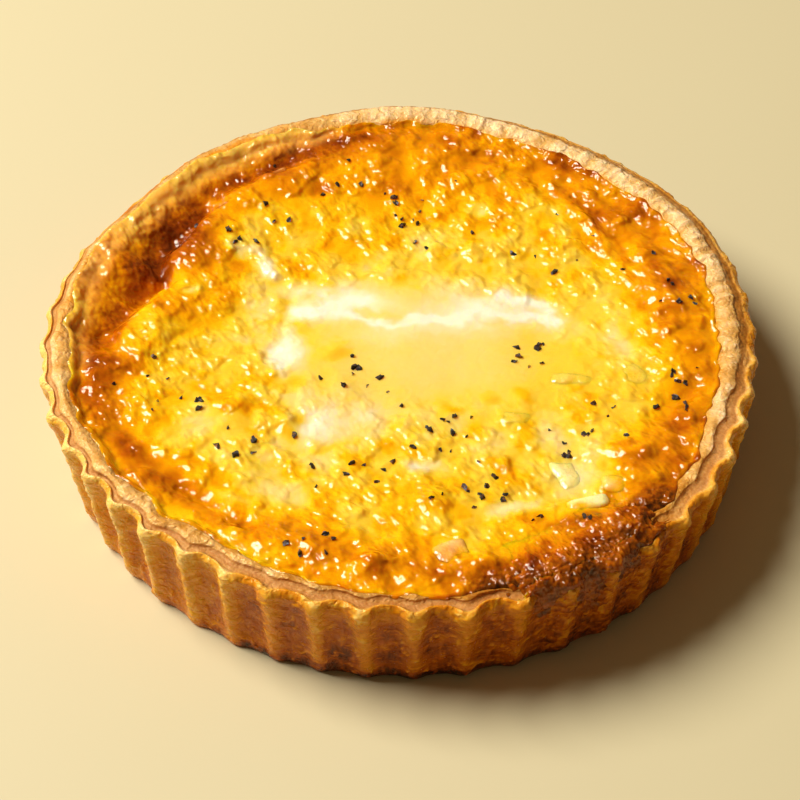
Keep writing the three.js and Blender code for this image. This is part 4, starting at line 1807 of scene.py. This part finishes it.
    def close_below(self, points: Numbers, faces: list[Any], rim: Any) -> tuple[Numbers, list[Any]]:
        """Closes the custard down the inside of the case and over its floor.

        Args:
            points: The surface's points.
            faces: Its faces.
            rim: The numbers of the points at its edge, in order.

        Returns:
            The points and the faces of the whole.
        """
        edge = points[rim]
        degrees = np.degrees(np.arctan2(edge[:, 1], edge[:, 0]))
        named = self.case.section(degrees)
        turn = np.radians(degrees)
        start, before = len(points), rim
        rings = []
        for name, lift in (("inner_wall", 0.0), ("inner_foot", self.gap), ("floor_edge", self.gap)):
            radius, height, _ = named[name]
            rings.append(around(radius - self.gap, turn, height + lift))
            ring = start + np.arange(len(rim))
            beside, before_beside = np.roll(ring, -1), np.roll(before, -1)
            faces = faces + np.stack([before, ring, beside, before_beside], axis=-1).tolist()
            start, before = start + len(rim), ring
        middle = np.array([[0.0, 0.0, self.case.floor + self.gap]])
        faces = faces + [[start, int(b), int(a)] for a, b in zip(before, np.roll(before, -1))]
        return np.concatenate([points, *rings, middle]), faces


@dataclass
class Overflow:
    """Custard that ran over the rim and burnt there, as a grainy crust.

    Attributes:
        PATH: The named points of the case that it ran over, and how far above each it is.
        STEPS: How many rows of points lie between them.
        case: The case that it ran over.
        custard: The custard that it came from.
        angles: Where it starts and ends round the rim.
        columns: How many points lie across it.
        thickness: How thick it is on its grains.
        under: How far its ragged edges go under the surface.
        buried: How far its lower skin lies under the surface.
        dive: How far its two ends go under the surface.
    """

    PATH: ClassVar[tuple[tuple[str, float], ...]] = (
        ("inner", 0.5), ("shoulder", 1.5), ("lip_crest", 1.9), ("band_in", 2.3), ("skin_top", 1.3),
        ("under_rim", 0.2), ("high_wall", 0.0), ("mid_wall", 0.0), ("low_wall", 0.0), ("foot", 0.0),
    )
    STEPS: ClassVar[tuple[int, ...]] = (16, 14, 10, 9, 12, 14, 16, 16, 16)
    case: PastryCase
    custard: Custard
    angles: Point = (283.0, 318.0)
    columns: int = 230
    thickness: float = 1.3
    under: float = 0.6
    buried: float = 1.2
    dive: float = 3.2
    noise: SolidNoise = field(default_factory=lambda: SolidNoise(5))

    def build(self, finish: bpy.types.Material) -> bpy.types.Object:
        """Builds the crust as a closed shell whose edges dive under what it lies on.

        Args:
            finish: Its material.

        Returns:
            The finished piece.
        """
        degrees = np.linspace(*self.angles, self.columns)
        named = self.case.section(degrees)
        wave = self.case.rim_wave(degrees)
        route = []
        for name, lift in self.PATH:
            if name in ("inner", "shoulder"):
                radius = named["lip_inside"][0] * (0.86 if name == "inner" else 0.95)
                turn = np.radians(degrees)
                height = self.custard.height(radius * np.cos(turn), radius * np.sin(turn))
                follows = 0.0
            else:
                radius, height, follows = named[name]
                radius = radius + wave * self.case.share_of_rim(height, radius)
            route.append(np.stack([radius, height + lift, np.full_like(degrees, follows)], axis=-1))
        rows = smooth_path(np.stack(route), list(self.STEPS))
        hollow = self.case.hollow(degrees)
        radius = rows[..., 0] - rows[..., 2] * hollow
        turn = np.radians(degrees)
        base = around(radius, turn, rows[..., 1])
        flat = base.reshape(-1, 3)
        along, across = np.gradient(base, axis=0), np.gradient(base, axis=1)
        normal = np.cross(across, along).reshape(-1, 3)
        normal *= -1.0 / np.linalg.norm(normal, axis=1, keepdims=True)
        share = np.repeat(np.linspace(0.0, 1.0, len(rows)), self.columns)
        angle = np.tile(degrees, len(rows))
        depth = self.depth(flat, share, angle, np.tile(hollow, len(rows)))
        skins = [flat + normal * depth[:, None], flat - normal * self.buried]
        points = np.concatenate(skins) + np.tile(self.diving(flat, share, angle), (2, 1))
        faces = self.shell_faces(len(rows))
        custard_tone = self.custard.browning(flat[:, 0], flat[:, 1], np.zeros(len(flat)))
        burnt_tone = 0.79 + 0.22 * self.noise.layered(flat, 5.0, 3)
        browning = mix(custard_tone, burnt_tone, step(0.02, 0.22, share))
        values = {
            "browning": np.tile(np.clip(browning, 0.0, 1.0), 2),
            "rough": np.full(len(points), 0.8),
            "scorch": np.tile(step(0.0, 0.3, share), 2),
        }
        return make_piece("burnt_overflow", points, faces, values, finish)

    def sideways(self, points: Numbers, angle: Numbers) -> Numbers:
        """How far points are from the crust's middle, 1 at its ends."""
        middle, reach = sum(self.angles) / 2.0, (self.angles[1] - self.angles[0]) / 2.0
        return np.abs(angle - middle) / reach + 0.25 * self.noise.layered(points, 6.0, 3)

    def diving(self, points: Numbers, share: Numbers, angle: Numbers) -> Numbers:
        """How far each point moves so that the crust's two ends go under the surface.

        Args:
            points: Points under the crust.
            share: How far each is along the way that the custard ran.
            angle: Their angles.

        Returns:
            Rows of x, y and z.
        """
        sunk = self.dive * step(0.55, 0.95, self.sideways(points, angle))
        wall, turn = step(0.36, 0.5, share), np.radians(angle)
        return -around(wall, turn, 1.0 - wall) * sunk[:, None]

    def depth(self, points: Numbers, share: Numbers, angle: Numbers, hollow: Numbers) -> Numbers:
        """How thick the crust is.

        Args:
            points: Points under the crust.
            share: How far each is along the way that the custard ran.
            angle: Their angles.
            hollow: How far the flutes go in there.

        Returns:
            Its thickness, which falls below nothing at a ragged edge.
        """
        ragged = self.noise.layered(points, 6.0, 3)
        sideways = self.sideways(points, angle)
        inside = step(-0.03, 0.2, share + 0.1 * ragged)
        deep = hollow / self.case.flute_depth
        below = 1.0 - step(0.4, 0.6, share + 0.2 * ragged + 0.35 * sideways - 0.25 * deep)
        beside = 1.0 - step(0.6, 0.92, sideways)
        cover = np.minimum(np.minimum(inside, below), beside)
        grains = self.noise.ridged(points, 2.1, 2)
        return cover * (self.thickness * (0.35 + 0.65 * grains) + self.under) - self.under

    def shell_faces(self, rows: int) -> list[Any]:
        """Faces of the upper skin, the lower skin and the edge that joins them.

        Args:
            rows: How many rows of points each skin has.

        Returns:
            The vertex numbers of each face.
        """
        count = rows * self.columns
        upper = ring_faces(rows, self.columns, closed=False)
        turned = [[c, b, a, d] for a, b, c, d in upper]
        lower = [[count + v for v in reversed(face)] for face in turned]
        first = list(range(self.columns))
        last = [count - self.columns + v for v in first]
        left = [row * self.columns for row in range(rows)]
        right = [v + self.columns - 1 for v in left]
        loop = first + right[1:] + last[::-1][1:] + left[::-1][1:-1]
        sides = [[b, a, count + a, count + b] for a, b in zip(loop, loop[1:] + loop[:1])]
        return turned + lower + sides


# ---- Filling pieces and pepper ---------------------------------------------------


@dataclass
class FillingPiece:
    """One piece of cheese, onion or ham that breaks the surface.

    Attributes:
        node: The solid that it stands for.
        kind: What it is a piece of.
        half: Half its length, width and height.
        heading: The direction of its length, in degrees from +X.
        square: 2 for a rounded piece, more for a squarer one.
        covered: How far the custard climbs up its sides.
        bend: How much it is bent, as a share of its width.
        lumpiness: How uneven it is.
        grid: How many rings of points it has.
    """

    node: str
    kind: Filling
    half: Triple
    heading: float
    square: float
    covered: float
    bend: float = 0.12
    lumpiness: float = 0.16
    grid: int = 16

    def build(self, finish: bpy.types.Material, custard: Custard) -> bpy.types.Object:
        """Builds the piece where its solid is.

        Args:
            finish: Its material.
            custard: What it lies in, which laps over its edges.

        Returns:
            The finished piece.
        """
        low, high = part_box(self.node)
        centre = np.array((low + high) / 2.0) / MM
        points, faces = self.ball()
        power = (np.abs(points) ** self.square).sum(axis=1, keepdims=True) ** (1.0 / self.square)
        squared = points / power
        bend = self.bend * self.half[1] * np.sin(2.0 * squared[:, 0] + self.half[0])
        shaped = squared * np.array(self.half)
        shaped[:, 1] += bend
        noise = SolidNoise(len(self.node) + int(abs(centre[0]) * 10))
        shaped *= 1.0 + self.lumpiness * noise.layered(shaped, 5.0, 2)[:, None]
        spun = plane_points(shaped[:, 0], shaped[:, 1], -self.heading)
        spun[:, 2] = shaped[:, 2]
        x, y, z = (spun + centre).T
        surface = custard.height(x, y) + custard.wrinkles(x, y)
        values = {
            "browning": custard.browning(x, y, np.zeros_like(x)),
            "bare": step(self.covered - 0.5, self.covered + 0.7, z - surface),
        }
        return make_piece(f"{self.node}_dressed", spun + centre, faces, values, finish)

    def ball(self) -> tuple[Numbers, list[Any]]:
        """A closed ball of points and faces, one unit in radius.

        Returns:
            Its points and its faces.
        """
        rings, columns = self.grid, self.grid * 2
        tilt = np.pi * (np.arange(rings) + 0.5) / rings
        turn = 2.0 * np.pi * np.arange(columns) / columns
        points = around(np.sin(tilt)[:, None], turn, -np.cos(tilt)[:, None]).reshape(-1, 3)
        return np.concatenate([points, [[0, 0, -1], [0, 0, 1]]]), closed_rings(rings, columns)


FILLING = (
    FillingPiece("cheese_chunk_1", Filling.CHEESE, (4, 6.5, 4.5), 20, 4, 0.6),
    FillingPiece("cheese_chunk_2", Filling.CHEESE, (6, 2.75, 4), 12, 5, 0.8),
    FillingPiece("onion_piece_1", Filling.ONION, (5.5, 4.25, 2), 115, 3, 0.6),
    FillingPiece("onion_piece_2", Filling.ONION, (7, 2.75, 2), -12, 3, 0.6),
    FillingPiece("onion_piece_3", Filling.ONION, (4.75, 2.75, 2), -6, 3, 0.6),
    FillingPiece("onion_piece_4", Filling.ONION, (6.75, 3.5, 2.5), 12, 3, 0.8),
    FillingPiece("onion_piece_5", Filling.ONION, (5, 3.25, 2.25), 6, 3, 0.6),
    FillingPiece("ham_piece_1", Filling.HAM, (3.75, 2, 2), 38, 4, 0.6),
    FillingPiece("ham_piece_2", Filling.HAM, (4.75, 4, 2.5), 20, 4, 0.5),
)


@dataclass(frozen=True)
class Cluster:
    """A place where the pepper fell thickly.

    Attributes:
        at: Its centre.
        spread: How far the flakes lie from it along x and y.
        count: How many flakes it has.
    """

    at: Point
    spread: Point
    count: int


@dataclass
class Pepper:
    """Cracked pepper on the custard, in clusters as it fell.

    Attributes:
        custard: What it lies on.
        seed: What makes this pepper differ from others.
        sunk: How much of a flake's thickness is in the custard.
        clear_of_rim: How far a flake stays from the custard's edge.
        lengths: The shortest and the longest flake.
        raggedness: How far a flake's corners are moved.
        crumb: The size of the noise that moves them.
        clusters: Where it fell.
    """

    custard: Custard
    seed: int = 41
    sunk: float = 0.38
    clear_of_rim: float = 3.0
    lengths: Point = (0.9, 2.5)
    raggedness: float = 2.3
    crumb: float = 0.8
    clusters: tuple[Cluster, ...] = (
        Cluster((18, -55), (9, 7), 12),
        Cluster((13, -35), (9, 7), 12),
        Cluster((49, -36), (7, 9), 11),
        Cluster((72, -20), (8, 11), 13),
        Cluster((38, -5), (11, 5), 8),
        Cluster((-14, -14), (7, 8), 10),
        Cluster((-13, -48), (8, 5), 7),
        Cluster((-39, -41), (8, 6), 6),
        Cluster((-63, -21), (12, 9), 11),
        Cluster((1, 54), (9, 9), 12),
        Cluster((-20, 71), (11, 6), 10),
        Cluster((-50, 45), (11, 8), 8),
        Cluster((37, 42), (13, 11), 8),
        Cluster((75, 20), (7, 13), 9),
        Cluster((-20, -78), (9, 4), 6),
        Cluster((45, -69), (10, 5), 7),
    )

    def draws(self) -> Iterator[float]:
        """Endless even draws from 0 to 1, which lay the flakes where the solids have them.

        Returns:
            The draws, which the seed fixes.
        """
        state, word = self.seed, 2**32
        while True:
            state = (state + 0x6D2B79F5) % word
            value = (state ^ state >> 15) * (state | 1) % word
            value = (value + (value ^ value >> 7) * (value | 61) % word) % word ^ value
            yield (value ^ value >> 14) / word

    def lie(self) -> tuple[Numbers, Numbers, Numbers]:
        """Where each flake lies, its lengths and how it is turned.

        Returns:
            Rows of three numbers for each of the three.
        """
        draw = self.draws()
        flakes = []
        for cluster in self.clusters:
            for _ in range(cluster.count):
                x, y = (
                    middle + 1.5 * spread * (next(draw) + next(draw) + next(draw) - 1.5)
                    for middle, spread in zip(cluster.at, cluster.spread)
                )
                length = mix(*self.lengths, next(draw) ** 1.3)
                width, thickness = length * mix(0.5, 0.85, next(draw)), length * mix(0.45, 0.7, next(draw))
                tilt, _, spin = (math.tau * next(draw) for _ in range(3))
                flakes.append((x, y, length, width, thickness, 0.15 * tilt, 0.0, spin))
        rows = np.array(flakes)
        x, y = rows[:, 0], rows[:, 1]
        edge = self.custard.outline(np.degrees(np.arctan2(y, x)))
        bare = np.hypot(x, y) < edge - self.clear_of_rim
        for piece in FILLING:
            low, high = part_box(piece.node)
            middle = np.array((low + high) / 2.0) / MM
            bare &= np.hypot(x - middle[0], y - middle[1]) > max(piece.half)
        x, y, sizes, turns = x[bare], y[bare], rows[bare, 2:5], rows[bare, 5:]
        surface = self.custard.height(x, y) + self.custard.wrinkles(x, y)
        places = np.stack([x, y, surface + (0.5 - self.sunk) * sizes[:, 2]], axis=-1)
        return places, sizes, turns

    def scatter_tree(self) -> bpy.types.NodeTree:
        """Builds the node tree that puts a rough flake on each point.

        Returns:
            A tree with the points, the roughness and the seed as its inputs.
        """
        maker, given = NodeMaker.for_shapes("scatter_flakes", {
            "Points": "Geometry", "Raggedness": "Float", "Crumb Size": "Float", "Finish": "Material",
        })
        ragged, crumb = maker.wire(given, 1), maker.wire(given, 2)
        flake = maker.node("GeometryNodeMeshUVSphere", {}, {"Segments": 6, "Rings": 4, "Radius": 0.5})
        size, turn = (maker.named(name, "FLOAT_VECTOR") for name in ("flake_size", "flake_turn"))
        turned = maker.node("FunctionNodeEulerToRotation", {}, {0: turn})
        laid = maker.node("GeometryNodeInstanceOnPoints", {}, {
            "Points": given.outputs[0], "Instance": flake.outputs[0],
            "Rotation": turned.outputs[0], "Scale": size,
        })
        real = maker.node("GeometryNodeRealizeInstances", {}, {0: laid.outputs[0]})
        noise = maker.node("ShaderNodeTexNoise", {}, {"Scale": 1.0 / crumb, "Detail": 1.0})
        centred = maker.node(
            "ShaderNodeVectorMath", {"operation": "SUBTRACT"}, {0: noise.outputs["Color"], 1: (0.5,) * 3}
        )
        push = maker.node(
            "ShaderNodeVectorMath", {"operation": "SCALE"}, {0: centred.outputs[0], "Scale": ragged}
        )
        torn = maker.node(
            "GeometryNodeSetPosition", {}, {"Geometry": real.outputs[0], "Offset": push.outputs[0]}
        )
        return maker.end(torn, given.outputs["Finish"])

    def build(self, finish: bpy.types.Material) -> bpy.types.Object:
        """Builds all the pepper as one piece.

        Args:
            finish: Its material.

        Returns:
            The finished piece.
        """
        places, sizes, turns = self.lie()
        seeds = make_piece("pepper_places", places, [], {}, finish)
        for name, rows in (("flake_size", sizes * MM), ("flake_turn", turns)):
            kept = seeds.data.attributes.new(name, "FLOAT_VECTOR", "POINT")
            kept.data.foreach_set("vector", rows.astype(np.float32).ravel())
        inputs = {"Raggedness": self.raggedness * MM, "Crumb Size": self.crumb * MM, "Finish": finish}
        return run_tree(seeds, self.scatter_tree(), inputs, "cracked_pepper", smooth=False)


# ---- Studio ----------------------------------------------------------------------


@dataclass
class Studio:
    """A pale tabletop, a soft key light from the back left, and the camera."""

    floor_half: float = 3.0
    camera_place: Triple = (-0.000864, -0.444252, 0.480048)
    camera_pitch: float = 46.93
    lens: float = 100.0
    film_width: float = 36.0
    key_from: Point = (163.0, 50.0)
    key_distance: float = 2.0
    key_size: float = 1.15
    key_power: float = 66.0
    key_colour: Colour = (1.0, 1.0, 0.97)
    sky: Colour = (1.0, 0.72, 0.42)
    sky_strength: float = 0.14

    def build(self) -> None:
        """Builds the floor, the lights and the camera."""
        half = self.floor_half / MM
        corners = np.array([[-half, -half, 0], [half, -half, 0], [half, half, 0], [-half, half, 0]])
        floor = make_piece("floor", corners.astype(float), [[0, 1, 2, 3]], {}, FloorFinish().material())
        self.add_key()
        self.add_sky()
        self.add_camera()

    def add_key(self) -> None:
        """Adds the key light."""
        light = bpy.data.lights.new("key", "AREA")
        light.shape = "DISK"
        light.size = self.key_size
        light.energy = self.key_power
        light.color = self.key_colour
        lamp = add_to_scene("key", light)
        azimuth, elevation = (math.radians(angle) for angle in self.key_from)
        lamp.location = (
            self.key_distance * math.cos(elevation) * math.cos(azimuth),
            self.key_distance * math.cos(elevation) * math.sin(azimuth),
            self.key_distance * math.sin(elevation),
        )
        lamp.rotation_euler = (math.pi / 2.0 - elevation, 0.0, azimuth + math.pi / 2.0)

    def add_sky(self) -> None:
        """Adds even light from all round."""
        world = bpy.data.worlds.new("room")
        world.use_nodes = True
        background = world.node_tree.nodes["Background"]
        background.inputs["Color"].default_value = (*self.sky, 1.0)
        background.inputs["Strength"].default_value = self.sky_strength
        bpy.context.scene.world = world
        bpy.context.scene.view_settings.view_transform = "Standard"

    def add_camera(self) -> None:
        """Adds the camera, looking down at the quiche from the front."""
        camera = bpy.data.cameras.new("camera")
        camera.lens = self.lens
        camera.sensor_width = self.film_width
        eye = add_to_scene("camera", camera)
        eye.location = self.camera_place
        eye.rotation_euler = (math.radians(90.0 - self.camera_pitch), 0.0, 0.0)
        bpy.context.scene.camera = eye


# ---- Assembly --------------------------------------------------------------------


def place(piece: bpy.types.Object, slot: str, *nodes: str) -> None:
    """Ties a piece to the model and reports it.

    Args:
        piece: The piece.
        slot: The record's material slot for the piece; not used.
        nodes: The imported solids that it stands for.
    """
    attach(piece, ROOT)
    if nodes:
        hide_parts(*nodes)
    Log.info("%s: %d faces", piece.name, len(piece.data.polygons))


def main() -> None:
    """Builds the quiche and its studio."""
    logging.basicConfig(level=logging.INFO, format="%(message)s")
    case = PastryCase()
    custard = Custard(case)
    custard_finish = CustardFinish().material()
    pastry_case = case.build(PastryFinish().material())
    place(pastry_case, "pastry", "crust")
    place(custard.build(custard_finish, pastry_case), "custard", "custard")
    place(Overflow(case, custard).build(custard_finish), "custard")
    finishes = {kind: kind.finish().material() for kind in Filling}
    for piece in FILLING:
        place(piece.build(finishes[piece.kind], custard), piece.kind.value, piece.node)
    place(Pepper(custard).build(PepperFinish().material()), "custard")
    Studio().build()


if __name__ == "__main__":
    main()
